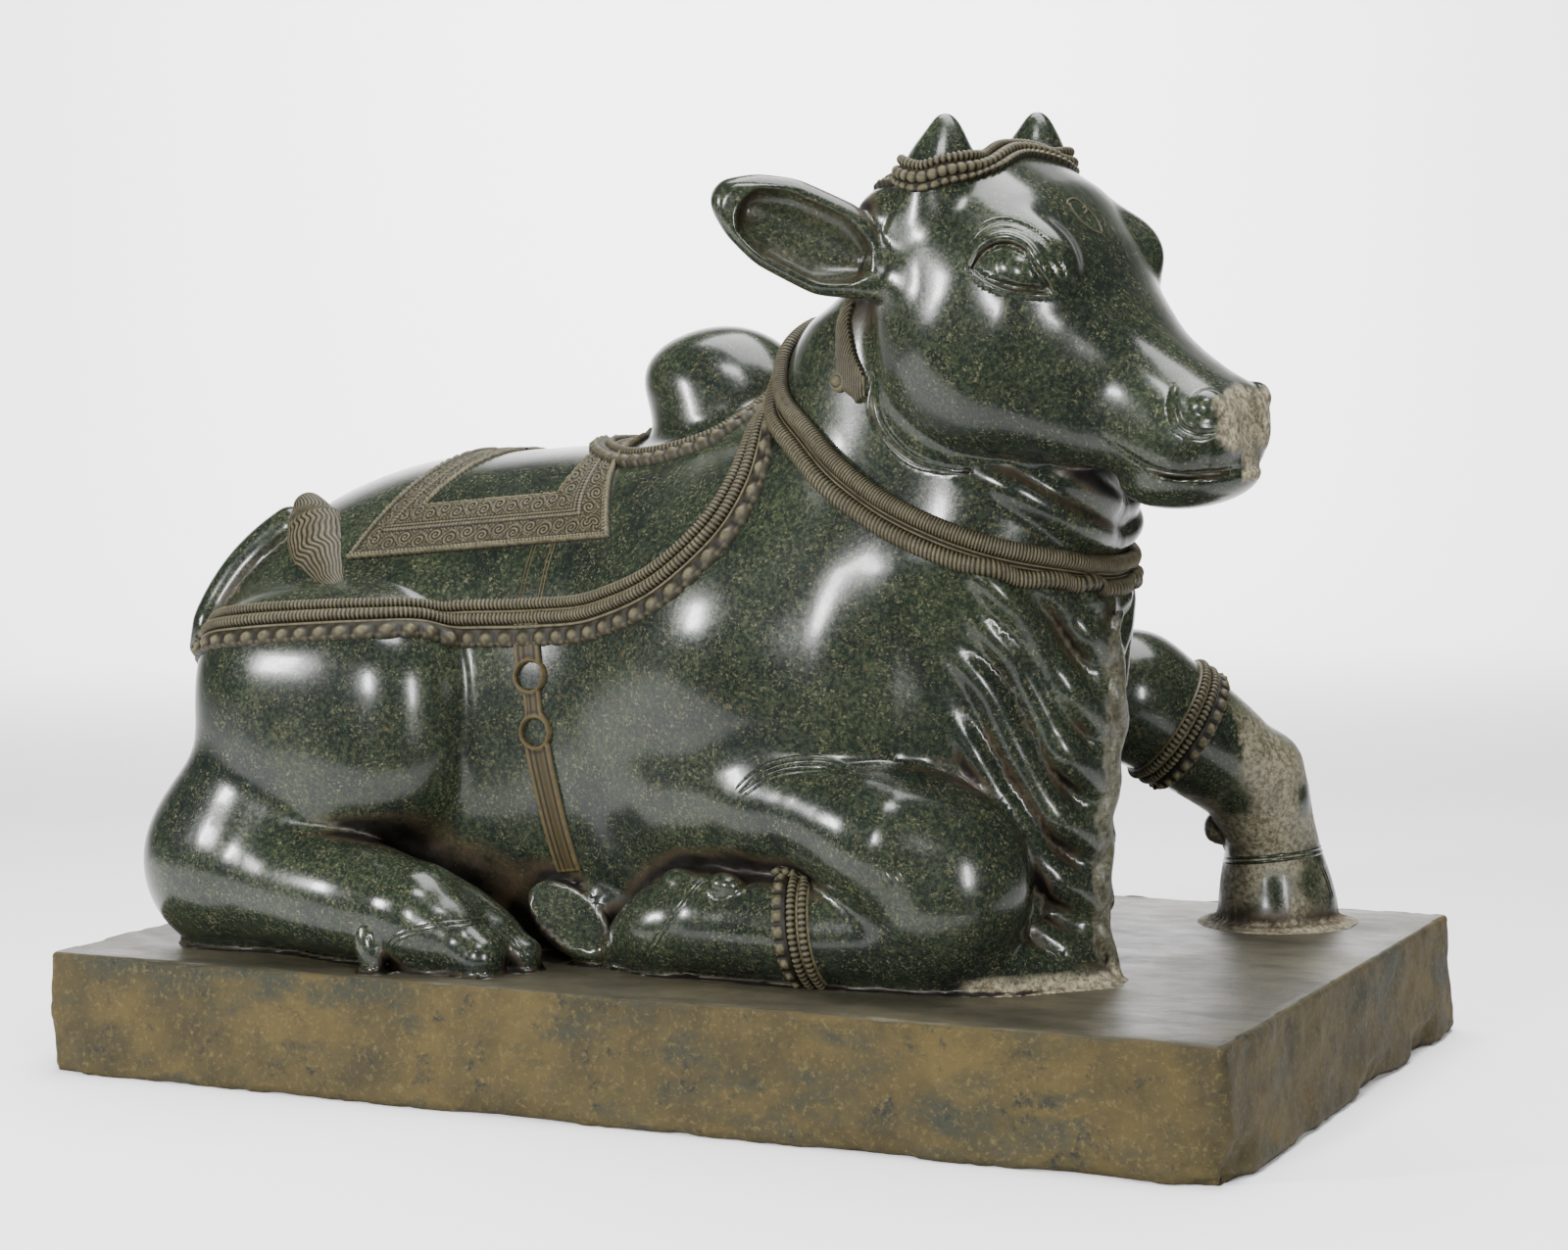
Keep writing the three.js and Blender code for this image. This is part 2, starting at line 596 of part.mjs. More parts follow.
// Walks a field with marching cubes. Blocks that lie far from the surface are passed over.
const CUBE_CORNERS = [[0, 0, 0], [1, 0, 0], [1, 1, 0], [0, 1, 0], [0, 0, 1], [1, 0, 1], [1, 1, 1], [0, 1, 1]];
const CUBE_EDGES = [
  [0, 1], [1, 2], [3, 2], [0, 3], [4, 5], [5, 6], [7, 6], [4, 7], [0, 4], [1, 5], [2, 6], [3, 7],
];
function marchingCubes(form, low, high, cell) {
  const counts = low.map((value, i) => Math.ceil((high[i] - value) / cell));
  const [nx, ny, nz] = counts.map((count) => count + 1);
  const values = new Float32Array(nx * ny * nz).fill(NaN);
  const place = (i, j, k) => [low[0] + i * cell, low[1] + j * cell, low[2] + k * cell];
  const spots = [];
  const faces = [];
  const known = new Map();
  const block = 6;
  const reach = (block * cell * Math.sqrt(3)) / 2;
  const each = (from, visit) => {
    for (let k = from[2]; k < Math.min(from[2] + block, counts[2]); k++)
      for (let j = from[1]; j < Math.min(from[1] + block, counts[1]); j++)
        for (let i = from[0]; i < Math.min(from[0] + block, counts[0]); i++) visit(i, j, k);
  };
  for (let bk = 0; bk < counts[2]; bk += block)
    for (let bj = 0; bj < counts[1]; bj += block)
      for (let bi = 0; bi < counts[0]; bi += block) {
        const middle = place(bi + block / 2, bj + block / 2, bk + block / 2);
        const near = form.within(middle, reach);
        if (Math.abs(near(...middle)) > reach * 1.6 + 12) continue;
        const sample = (i, j, k) => {
          const at = i + nx * (j + ny * k);
          if (Number.isNaN(values[at])) values[at] = near(...place(i, j, k)) || 1e-6;
          return at;
        };
        each([bi, bj, bk], (i, j, k) => {
          const ats = CUBE_CORNERS.map(([a, b, c]) => sample(i + a, j + b, k + c));
          const mask = ats.reduce((sum, at, n) => sum | (values[at] < 0 ? 1 << n : 0), 0);
          if (edgeTable[mask] === 0) return;
          const made = CUBE_EDGES.map(([p, q], n) => {
            if (!(edgeTable[mask] & (1 << n))) return -1;
            const [start, end] = ats[p] < ats[q] ? [p, q] : [q, p];
            const key = ats[start] * 3 + [1, nx, nx * ny].indexOf(ats[end] - ats[start]);
            let found = known.get(key);
            if (found === undefined) {
              const before = values[ats[start]];
              const t = clamp(before / (before - values[ats[end]]), 0.03, 0.97);
              const from = CUBE_CORNERS[start];
              const to = CUBE_CORNERS[end];
              spots.push(place(...from.map((v, a) => [i, j, k][a] + mix(v, to[a], t))));
              found = spots.length - 1;
              known.set(key, found);
            }
            return found;
          });
          for (let n = mask * 16; triTable[n] !== -1; n += 3)
            faces.push([made[triTable[n]], made[triTable[n + 2]], made[triTable[n + 1]]]);
        });
      }
  return { spots, faces };
}

// Thins a closed mesh by collapsing the edge that moves the surface least, again and again.
// Each corner carries the sum of its faces' squared plane distances as ten numbers.
function thinned({ spots, faces }, target) {
  const planes = spots.map(() => new Float64Array(10));
  const around = spots.map(() => new Set());
  const alive = faces.map(() => true);
  const normalOf = (face, moved = -1, to = null) => {
    const [a, b, c] = face.map((v) => (v === moved ? to : spots[v]));
    const ux = b[0] - a[0];
    const uy = b[1] - a[1];
    const uz = b[2] - a[2];
    const vx = c[0] - a[0];
    const vy = c[1] - a[1];
    const vz = c[2] - a[2];
    return [uy * vz - uz * vy, uz * vx - ux * vz, ux * vy - uy * vx];
  };
  faces.forEach((face, f) => {
    const n = normalOf(face);
    const size = Math.hypot(...n) || 1e-9;
    const [a, b, c] = n.map((value) => value / size);
    const d = -(a * spots[face[0]][0] + b * spots[face[0]][1] + c * spots[face[0]][2]);
    const sums = [a * a, a * b, a * c, a * d, b * b, b * c, b * d, c * c, c * d, d * d];
    face.forEach((v) => {
      around[v].add(f);
      sums.forEach((value, i) => (planes[v][i] += value * size));
    });
  });
  const costAt = (q, [x, y, z]) =>
    q[0] * x * x + 2 * q[1] * x * y + 2 * q[2] * x * z + 2 * q[3] * x + q[4] * y * y +
    2 * q[5] * y * z + 2 * q[6] * y + q[7] * z * z + 2 * q[8] * z + q[9];
  const bestSpot = (p, q) => {
    const sum = planes[p].map((value, i) => value + planes[q][i]);
    const middle = spots[p].map((value, i) => (value + spots[q][i]) / 2);
    const choices = [spots[p], spots[q], middle];
    const e = 1e-3 * (sum[0] + sum[4] + sum[7]) + 1e-9;
    const m = new THREE.Matrix3().set(
      sum[0] + e, sum[1], sum[2],
      sum[1], sum[4] + e, sum[5],
      sum[2], sum[5], sum[7] + e,
    );
    const right = new THREE.Vector3(
      -sum[3] + e * middle[0],
      -sum[6] + e * middle[1],
      -sum[8] + e * middle[2],
    );
    choices.push(right.applyMatrix3(m.invert()).toArray());
    const span = Math.hypot(...spots[p].map((value, i) => value - spots[q][i]));
    let best = null;
    for (const spot of choices) {
      if (Math.hypot(...spot.map((value, i) => value - middle[i])) > 2 * span) continue;
      const cost = costAt(sum, spot) + span * span * 0.02;
      if (!best || cost < best.cost) best = { cost, spot };
    }
    return best;
  };
  const heap = [];
  const swap = (i, j) => ([heap[i], heap[j]] = [heap[j], heap[i]]);
  const push = (item) => {
    heap.push(item);
    for (let i = heap.length - 1; i > 0; ) {
      const up = (i - 1) >> 1;
      if (heap[up].cost <= heap[i].cost) break;
      swap(i, up);
      i = up;
    }
  };
  const pop = () => {
    const top = heap[0];
    const last = heap.pop();
    if (heap.length) heap[0] = last;
    for (let i = 0; ; ) {
      let least = i;
      for (const down of [2 * i + 1, 2 * i + 2])
        if (down < heap.length && heap[down].cost < heap[least].cost) least = down;
      if (least === i) break;
      swap(i, least);
      i = least;
    }
    return top;
  };
  const age = new Int32Array(spots.length);
  const offer = (p, q) => push({ ...bestSpot(p, q), p, q, ages: age[p] + age[q] });
  const neighbours = (v) => {
    const found = new Set();
    around[v].forEach((f) => faces[f].forEach((w) => found.add(w)));
    found.delete(v);
    return found;
  };
  faces.forEach(([a, b, c]) => {
    if (a < b) offer(a, b);
    if (b < c) offer(b, c);
    if (c < a) offer(c, a);
  });
  let left = faces.length;
  while (left > target && heap.length) {
    const { p, q, spot, ages } = pop();
    if (age[p] < 0 || age[q] < 0 || age[p] + age[q] !== ages) continue;
    const beside = neighbours(q);
    const shared = [...neighbours(p)].filter((v) => beside.has(v));
    if (shared.length !== 2) continue;
    const flips = (v, other) =>
      [...around[v]].some((f) => {
        if (faces[f].includes(other)) return false;
        const before = normalOf(faces[f]);
        const after = normalOf(faces[f], v, spot);
        const dot = before[0] * after[0] + before[1] * after[1] + before[2] * after[2];
        return dot < 0.25 * Math.hypot(...before) * Math.hypot(...after) + 1e-9;
      });
    if (flips(p, q) || flips(q, p)) continue;
    spots[p] = spot;
    planes[q].forEach((value, i) => (planes[p][i] += value));
    around[q].forEach((f) => {
      if (faces[f].includes(p)) {
        faces[f].forEach((v) => around[v].delete(f));
        alive[f] = false;
        left--;
      } else {
        faces[f] = faces[f].map((v) => (v === q ? p : v));
        around[p].add(f);
      }
    });
    age[q] = -1;
    age[p]++;
    neighbours(p).forEach((v) => offer(Math.min(p, v), Math.max(p, v)));
  }
  return { spots, faces: faces.filter((face, f) => alive[f]) };
}

function geometryOf({ spots, faces }) {
  const corners = faces.flatMap((face) => face.flatMap((v) => spots[v]));
  const geometry = new THREE.BufferGeometry();
  geometry.setAttribute("position", new THREE.Float32BufferAttribute(corners, 3));
  return mergeVertices(geometry, 1e-4);
}

// The slab: a hewn block with worn edges, sides that are not quite straight and its corners knocked off.
const SLAB_STEP = 46;
function slab() {
  const rear = FOOTPRINT.rear * UNIT - REAR_MARGIN;
  const front = FOOTPRINT.front * UNIT + FRONT_MARGIN;
  const right = FOOTPRINT.right * UNIT - RIGHT_MARGIN;
  const left = FOOTPRINT.left * UNIT + LEFT_MARGIN;
  const corners = [
    [rear + 2, right + 1, 18], [front + 3, right - 1, 12], [front - 1, left - 1, 12],
    [rear + 10, left + 1, 18],
  ];
  const outline = [];
  corners.forEach(([x, y, r], i) => {
    const [nextX, nextY, nextR] = corners[(i + 1) % 4];
    const turn = (i * Math.PI) / 2;
    const inX = x + Math.SQRT2 * r * Math.cos(turn + Math.PI / 4);
    const inY = y + Math.SQRT2 * r * Math.sin(turn + Math.PI / 4);
    for (const degrees of [-45, -15, 15, 45]) {
      const angle = turn - Math.PI * 0.75 + radians(degrees);
      outline.push([inX + r * Math.cos(angle), inY + r * Math.sin(angle)]);
    }
    const span = Math.hypot(nextX - x, nextY - y);
    const steps = Math.floor((span - r - nextR) / SLAB_STEP);
    for (let n = 1; n < steps; n++) outline.push([mix(x, nextX, n / steps), mix(y, nextY, n / steps)]);
  });
  // Knocked-off places: how far along and across the slab, how wide, how deep, and how high up the side.
  const chips = [
    [1.01, 0, 55, 15, 34], [1.01, 0.82, 45, 13, 26], [1.01, 0.6, 60, 10, 22], [0, 0.03, 50, 9, 60],
    [0.73, 0, 50, 6, 14], [0.445, 0, 70, 5, 12], [0.9, 0, 40, 7, 16], [0, 1, 70, 18, 50],
    [0.61, 1, 60, 11, 24], [0, 0.57, 70, 10, 30],
  ];
  // From the underside up: height and how far the side stands in from the top's outline.
  const levels = [
    [0, SLAB_EDGE_WEAR - 8], [SLAB_EDGE_WEAR, -8], [SLAB_HEIGHT * 0.45, -4],
    [SLAB_HEIGHT - SLAB_EDGE_WEAR, 0], [SLAB_HEIGHT, SLAB_EDGE_WEAR * 0.8],
  ];
  const [middleX, middleY] = [(rear + front) / 2, (right + left) / 2];
  const rings = levels.map(([z, inset]) =>
    outline.map(([x, y], i) => {
      let deep = inset + Math.sin(i * 2.3 + z * 0.02) + Math.sin(i * 0.9 + z * 0.05);
      for (const [along, across, wide, depth, tall] of chips) {
        const far = Math.hypot(x - mix(rear, front, along), y - mix(right, left, across)) / wide;
        if (far < 1) deep += depth * (1 - far * far) * clamp(1.2 - z / tall, 0, 1);
      }
      const inX = ((x - middleX) * deep) / ((front - rear) / 2);
      const inY = ((y - middleY) * deep) / ((left - right) / 2);
      return [x - inX, y - inY, z];
    }),
  );
  const count = outline.length;
  const spots = rings.flat();
  const faces = [];
  for (let level = 0; level + 1 < rings.length; level++)
    for (let i = 0; i < count; i++) {
      const a = level * count + i;
      const b = level * count + ((i + 1) % count);
      faces.push([a, b, b + count], [a, b + count, a + count]);
    }
  const flat = (ring) => ring.map(([x, y]) => new THREE.Vector2(x, y));
  const topStart = (rings.length - 1) * count;
  THREE.ShapeUtils.triangulateShape(flat(rings[0]), []).forEach(([a, b, c]) => faces.push([a, c, b]));
  THREE.ShapeUtils.triangulateShape(flat(rings.at(-1)), []).forEach(([a, b, c]) =>
    faces.push([topStart + a, topStart + b, topStart + c]),
  );
  return geometryOf({ spots, faces });
}

const wasm = await Module();
wasm.setup();
function solidOf(geometry) {
  const vertProperties = new Float32Array(geometry.attributes.position.array);
  const triVerts = new Uint32Array(geometry.index.array);
  return new wasm.Manifold(new wasm.Mesh({ numProp: 3, vertProperties, triVerts }));
}
function geometryFrom(solid) {
  const mesh = solid.getMesh();
  const geometry = new THREE.BufferGeometry();
  geometry.setAttribute("position", new THREE.BufferAttribute(new Float32Array(mesh.vertProperties), 3));
  geometry.setIndex(new THREE.BufferAttribute(new Uint32Array(mesh.triVerts), 1));
  geometry.computeBoundingBox();
  const middle = geometry.boundingBox.getCenter(new THREE.Vector3());
  return geometry.translate(-middle.x, -middle.y, 0);
}

// The figure ends level inside the slab, so the two make one stone.
const sunk = {
  within(middle, reach) {
    const near = figure.within(middle, reach);
    return (x, y, z) => Math.max(near(x, y, z), -BULL_SINK / UNIT - z);
  },
};
const walked = marchingCubes(sunk, figure.low, figure.high, CELL);
const bull = geometryOf(thinned(walked, FIGURE_TRIANGLES));
bull.scale(UNIT, UNIT, UNIT);
bull.translate(0, 0, SLAB_HEIGHT);

const whole = solidOf(slab()).add(solidOf(bull));
const stone = new THREE.MeshStandardMaterial({ color: 0x2c3a33, roughness: 0.35, metalness: 0 });
const mesh = new THREE.Mesh(geometryFrom(whole), stone);
mesh.name = "nandi_bull";
const group = new THREE.Group();
group.name = "nandi_bull_figure";
group.add(mesh);
export default group;
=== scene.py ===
# The visual model of a recumbent temple bull and its slab, carved as one from dark green stone.
#
# Shapes are worked out in the drawing's frame: millimetres above the slab's top, +X towards the muzzle
# and -Y out of the bull's right flank. Every mesh is moved into the frame's metres as it is made.
# The figure is a field, a function that gives about how far a point lies outside the stone. Its surface
# is walked on a fine grid, drawn onto the field, and takes its normals from the field's slope.
# Ornaments are strips of relief that are laid on that surface.
import math

import bpy
import numpy as np
from mathutils import Matrix, Vector


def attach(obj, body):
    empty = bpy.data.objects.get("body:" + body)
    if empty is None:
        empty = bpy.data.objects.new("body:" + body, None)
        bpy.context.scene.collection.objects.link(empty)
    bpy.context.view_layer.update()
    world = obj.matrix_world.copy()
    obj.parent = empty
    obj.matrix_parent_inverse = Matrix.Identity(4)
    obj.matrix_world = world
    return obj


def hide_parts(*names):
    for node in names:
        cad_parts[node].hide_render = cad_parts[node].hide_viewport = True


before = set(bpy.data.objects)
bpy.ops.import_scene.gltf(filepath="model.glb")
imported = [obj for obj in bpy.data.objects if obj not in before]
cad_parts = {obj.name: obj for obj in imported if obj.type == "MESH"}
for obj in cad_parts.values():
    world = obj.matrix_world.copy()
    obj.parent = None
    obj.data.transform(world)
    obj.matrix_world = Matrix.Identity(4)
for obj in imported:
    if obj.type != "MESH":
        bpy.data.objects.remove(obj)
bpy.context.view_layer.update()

NODE = "nandi_bull"
MM = 0.001
SLAB_HEIGHT = 108.0
DRAWING_SHIFT = np.array([-3.03, 6.42, SLAB_HEIGHT])  # from the drawing's origin to the frame's
FAR = 1e6
TINY = 1e-9
rng = np.random.default_rng(7)


# Numbers.
def profile(pairs):
    """A smooth line through [place, value] pairs, level beyond both ends."""
    places, values = np.array(pairs, float).T
    steps = np.diff(values) / np.diff(places)
    slopes = np.zeros(len(places))
    before, after = steps[:-1], steps[1:]
    rising = before * after > 0
    total = np.where(rising, before + after, 1.0)
    slopes[1:-1] = np.where(rising, 2 * before * after / total, 0.0)

    def value(x):
        x = np.clip(x, places[0], places[-1])
        i = np.clip(np.searchsorted(places, x, side="right") - 1, 0, len(places) - 2)
        width = places[i + 1] - places[i]
        t = (x - places[i]) / width
        rise = t * t * (3 - 2 * t)
        bend = slopes[i] * t * (1 - t) ** 2 + slopes[i + 1] * t * t * (t - 1)
        return values[i] + (values[i + 1] - values[i]) * rise + bend * width

    return value


def smooth_min(a, b, k):
    h = np.maximum(k - np.abs(a - b), 0) / k
    return np.minimum(a, b) - h * h * k * 0.25


def smooth_max(a, b, k):
    return -smooth_min(-a, -b, k)


def smooth_step(low, high, x):
    t = np.clip((x - low) / (high - low), 0, 1)
    return t * t * (3 - 2 * t)


def unit(v):
    return v / np.maximum(np.linalg.norm(v, axis=-1, keepdims=True), TINY)


def ridge(x, at, width):
    """A ridge 1 high along x = at, gone at about twice its width on either side."""
    return np.exp(-(((x - at) / width) ** 2))


def nodes_of(*marks):
    """Every node of the grid with these marks along its axes, as rows."""
    return np.stack(np.meshgrid(*marks, indexing="ij"), -1).reshape(-1, len(marks))


LATTICE_SIZE = 32
LATTICE = rng.random((LATTICE_SIZE,) * 3)
SEED_SHIFT = 7.31  # how much further on each seed reads the lattice


def noise(points, size, seed):
    """Smooth noise from -1 to 1 whose lumps are about `size` across."""
    p = np.asarray(points, float) / size + SEED_SHIFT * seed
    cell = np.floor(p).astype(int)
    f = p - cell
    f = f * f * (3 - 2 * f)
    total = 0.0
    for corner in range(8):
        pick = [(corner >> a) & 1 for a in range(3)]
        weight = np.prod([f[:, a] if pick[a] else 1 - f[:, a] for a in range(3)], axis=0)
        at = [(cell[:, a] + pick[a]) % LATTICE_SIZE for a in range(3)]
        total = total + weight * LATTICE[at[0], at[1], at[2]]
    return total * 2 - 1


# Curves.
def catmull_rom(keys, count, closed=False):
    """`count` points along a centripetal curve through the keys, evenly spread between its spans."""
    keys = np.array(keys, float)
    n = len(keys)
    spans = n if closed else n - 1
    if closed:
        ring = np.concatenate([keys[-1:], keys, keys[:2]])
    else:
        ring = np.concatenate([[2 * keys[0] - keys[1]], keys, [2 * keys[-1] - keys[-2]]])
    at = np.linspace(0, spans, count)
    i = np.minimum(at.astype(int), spans - 1)
    w = (at - i)[:, None]
    p0, p1, p2, p3 = (ring[i + k] for k in range(4))
    legs = (p1 - p0, p2 - p1, p3 - p2)
    d0, d1, d2 = (np.maximum(np.linalg.norm(leg, axis=1), TINY)[:, None] ** 0.5 for leg in legs)
    t1 = ((p1 - p0) / d0 - (p2 - p0) / (d0 + d1) + (p2 - p1) / d1) * d1
    t2 = ((p2 - p1) / d1 - (p3 - p1) / (d1 + d2) + (p3 - p2) / d2) * d1
    c2 = 3 * (p2 - p1) - 2 * t1 - t2
    c3 = 2 * (p1 - p2) + t1 + t2
    return p1 + w * (t1 + w * (c2 + w * c3))


def even(points, count):
    """The same line with `count` points at equal steps of length."""
    s = np.concatenate([[0], np.cumsum(np.linalg.norm(np.diff(points, axis=0), axis=1))])
    at = np.linspace(0, s[-1], count)
    return np.stack([np.interp(at, s, points[:, a]) for a in range(3)], 1)


CURVE_POINTS = 60


def smooth_line(keys, count):
    """`count` points at equal steps along the curve through the keys."""
    return even(catmull_rom(keys, CURVE_POINTS), count)


def graded(pairs, count):
    """`count` values of a profile that is given from 0 to 1."""
    return profile(pairs)(np.linspace(0, 1, count))


def length_of(points):
    return np.linalg.norm(np.diff(points, axis=0), axis=1).sum()


# Forms.
class Form:
    """A distance function, and a ball that holds all that it encloses."""

    def __init__(self, distance, centre, reach):
        self.distance = distance
        self.centre = np.array(centre, float)
        self.reach = reach


def turned(x, y, z):
    """The rotation by x, then y, then z degrees about the turning axes."""
    cx, cy, cz = (math.cos(math.radians(v)) for v in (x, y, z))
    sx, sy, sz = (math.sin(math.radians(v)) for v in (x, y, z))
    about_x = np.array([[1, 0, 0], [0, cx, -sx], [0, sx, cx]])
    about_y = np.array([[cy, 0, sy], [0, 1, 0], [-sy, 0, cy]])
    about_z = np.array([[cz, -sz, 0], [sz, cz, 0], [0, 0, 1]])
    return about_x @ about_y @ about_z


CORE = 0.2  # the share of the radii inside which a rough depth is enough
CORNER_REACH = 1.25  # how far the corners of a squarer ellipsoid reach past its radii


def ellipsoid(centre, radii, turn=(0, 0, 0), power=2):
    """An ellipsoid. A power above 2 makes it squarer."""
    middle = np.array(centre, float)
    size = np.array(radii, float)
    basis = turned(*turn)
    q = power - 1

    def distance(p):
        local = np.abs((p - middle) @ basis) / size
        near = (local**power).sum(1) ** (1 / power)
        slope = np.sqrt(((local**q / size) ** 2).sum(1))
        outside = (near - 1) * near**q / np.maximum(slope, TINY)
        return np.where(near < CORE, (near - 1) * size.min(), outside)

    return Form(distance, centre, size.max() * (CORNER_REACH if power > 2 else 1))


def tube_of(path, radii):
    """A tube along points, round and smooth between them."""
    line = np.column_stack([path, radii])
    bend = np.gradient(line, axis=0)
    ab = np.diff(path, axis=0)
    size = (ab**2).sum(1)
    last = len(path) - 1

    def on_line(at):
        i = np.minimum(at.astype(int), last - 1)
        t = (at - i)[:, None]
        step, a, b = line[i + 1] - line[i], bend[i], bend[i + 1]
        c2, c3 = 3 * step - 2 * a - b, a + b - 2 * step
        return line[i] + t * (a + t * (c2 + t * c3)), (a + t * (2 * c2 + t * 3 * c3))[:, :3]

    def distance(p):
        best = np.full(len(p), FAR)
        at = np.zeros(len(p))
        for i in range(last):
            w = p - path[i]
            t = np.clip(w @ ab[i] / size[i], 0, 1)
            w -= t[:, None] * ab[i]
            gap = np.sqrt(np.einsum("ij,ij->i", w, w)) - (radii[i] + (radii[i + 1] - radii[i]) * t)
            nearer = gap < best
            best[nearer] = gap[nearer]
            at[nearer] = i + t[nearer]
        for _ in range(2):  # two steps along the curve towards the foot of each point
            spot, way = on_line(at)
            at = np.clip(at + ((p - spot[:, :3]) * way).sum(1) / (way**2).sum(1), 0, last)
        spot = on_line(at)[0]
        return np.sqrt(((p - spot[:, :3]) ** 2).sum(1)) - spot[:, 3]

    low = (path - radii[:, None]).min(0)
    high = (path + radii[:, None]).max(0)
    return Form(distance, (low + high) / 2, np.linalg.norm(high - low) / 2)


STATION_STEPS = 3


def tube(stations):
    """A tube along a smooth curve through [x, y, z, radius] stations."""
    stations = np.array(stations, float)
    count = (len(stations) - 1) * STATION_STEPS + 1
    radius = profile(list(enumerate(stations[:, 3])))
    path = catmull_rom(stations[:, :3], count)
    return tube_of(path, radius(np.arange(count) / STATION_STEPS))


END_ROUND = 24
LOFT_CORE = 0.3  # the share of a section inside which its nearer wall is reckoned with


def loft(start, end, low, high, side, middle, power, centre, reach, axes):
    """Superellipse sections along one axis: `low` and `high` bound them, `side` is half their width."""
    low, high, side, middle = (profile(v) for v in (low, high, side, middle))
    q = power - 1

    def distance(p):
        s, t, w = axes(p)
        at = np.clip(s, start, end)
        bottom, top = low(at), high(at)
        tall, wide = (top - bottom) / 2, side(at)
        b = np.abs(t - (top + bottom) / 2) / tall
        a = np.abs(w - middle(at)) / wide
        near = (a**power + b**power) ** (1 / power)
        steep = np.sqrt((a**q / wide) ** 2 + (b**q / tall) ** 2) / np.maximum(near, 0.1) ** q
        across = (near - 1) / np.where(near < LOFT_CORE, 1 / np.minimum(wide, tall), steep)
        return smooth_max(across, np.maximum(start - s, s - end), END_ROUND)

    return Form(distance, centre, reach)


def blended(forms):
    """Adds forms one by one to the first, each blended over its own length."""

    def distance(p):
        best = np.full(len(p), FAR)
        for form, k in forms:
            gap = np.sqrt(((p - form.centre) ** 2).sum(1)) - form.reach - k
            near = np.flatnonzero(gap <= best)
            if not len(near):
                continue
            value = form.distance(p[near])
            best[near] = smooth_min(best[near], value, k) if k > 0 else np.minimum(best[near], value)
        return best

    return distance


CORNERS = np.array([[1, 1, 1], [1, -1, -1], [-1, 1, -1], [-1, -1, 1]], float)


def slope_of(field, p, step):
    """The field's slope at each point, by small steps to the corners of a tetrahedron."""
    return sum(corner * field(p + corner * step)[:, None] for corner in CORNERS) / (4 * step)


LEAST_SLOPE = 0.1


def settle(field, p, lift=0.0, rounds=4, most=30.0):
    """Brings points to where the field is `lift`, along its slope."""
    p = p.copy()
    for _ in range(rounds):
        values = [field(p + corner) for corner in CORNERS]
        slope = sum(corner * value[:, None] for corner, value in zip(CORNERS, values)) / 4
        size = np.maximum((slope**2).sum(1), LEAST_SLOPE)
        move = np.clip(-(sum(values) / 4 - lift) / size, -most, most)
        p += slope * move[:, None]
    return p


def mirrored(keys, middle=0.0):
    return [[x, 2 * middle - y, z] for x, y, z in keys]


# The trunk: sections across X, from the rump to the chest.
trunk = loft(
    start=-506,
    end=285,
    low=[[0, -60], [1, -60]],
    high=[
        [-506, 283], [-490, 318], [-445, 372], [-380, 414], [-300, 434], [-200, 441], [-100, 448],
        [0, 468], [90, 496], [170, 500], [230, 440], [285, 330],
    ],
    side=[
        [-506, 110], [-490, 142], [-440, 198], [-350, 230], [-250, 222], [-130, 205], [-20, 218],
        [80, 214], [160, 202], [230, 160], [285, 60],
    ],
    middle=[[0, 0], [285, -45]],
    power=2.3,
    centre=(-130, 0, 200),
    reach=560,
    axes=lambda p: (p[:, 0], p[:, 2], p[:, 1]),
)

# The neck: level sections, from the chest up to the poll.
neck = loft(
    start=20,
    end=625,
    low=[
        [20, 40], [250, 40], [340, 58], [400, 72], [460, 86], [520, 103], [545, 120], [565, 147],
        [590, 172], [625, 198],
    ],
    high=[
        [20, 300], [150, 322], [250, 345], [340, 376], [400, 384], [460, 388], [520, 380], [580, 330],
        [625, 280],
    ],
    side=[
        [20, 92], [150, 116], [250, 145], [340, 134], [400, 114], [460, 104], [520, 96], [580, 84],
        [625, 50],
    ],
    middle=[[20, -88], [150, -86], [250, -66], [340, -85], [400, -100], [520, -112], [625, -115]],
    power=2.2,
    centre=(220, -90, 325),
    reach=370,
    axes=lambda p: (p[:, 2], p[:, 0], p[:, 1]),
)

# The head has its own frame: u forward, v to the left and z up, turned a little to the right flank.
HEAD_TURN = math.radians(-8)
HEAD_SPOT = np.array([200.0, -123.0])
HEAD_TILT = 0.07  # the right side of the head is a little lower


def from_head(points):
    u, v, z = np.array(points, float).T
    x = HEAD_SPOT[0] + u * math.cos(HEAD_TURN) - v * math.sin(HEAD_TURN)
    y = HEAD_SPOT[1] + u * math.sin(HEAD_TURN) + v * math.cos(HEAD_TURN)
    return np.stack([x, y, z + HEAD_TILT * v], 1)


def to_head(p):
    dx, dy = p[:, 0] - HEAD_SPOT[0], p[:, 1] - HEAD_SPOT[1]
    u = dx * math.cos(HEAD_TURN) + dy * math.sin(HEAD_TURN)
    v = dy * math.cos(HEAD_TURN) - dx * math.sin(HEAD_TURN)
    return u, v, p[:, 2] - HEAD_TILT * v


# The skull is a loft along a line that falls 30 degrees from the poll to the muzzle.
FALL = math.radians(30)
POLL = (60, 590)  # u and z


def skull_axes(p):
    du, dz = p[:, 0] - POLL[0], p[:, 2] - POLL[1]
    return du * math.cos(FALL) - dz * math.sin(FALL), du * math.sin(FALL) + dz * math.cos(FALL), p[:, 1]


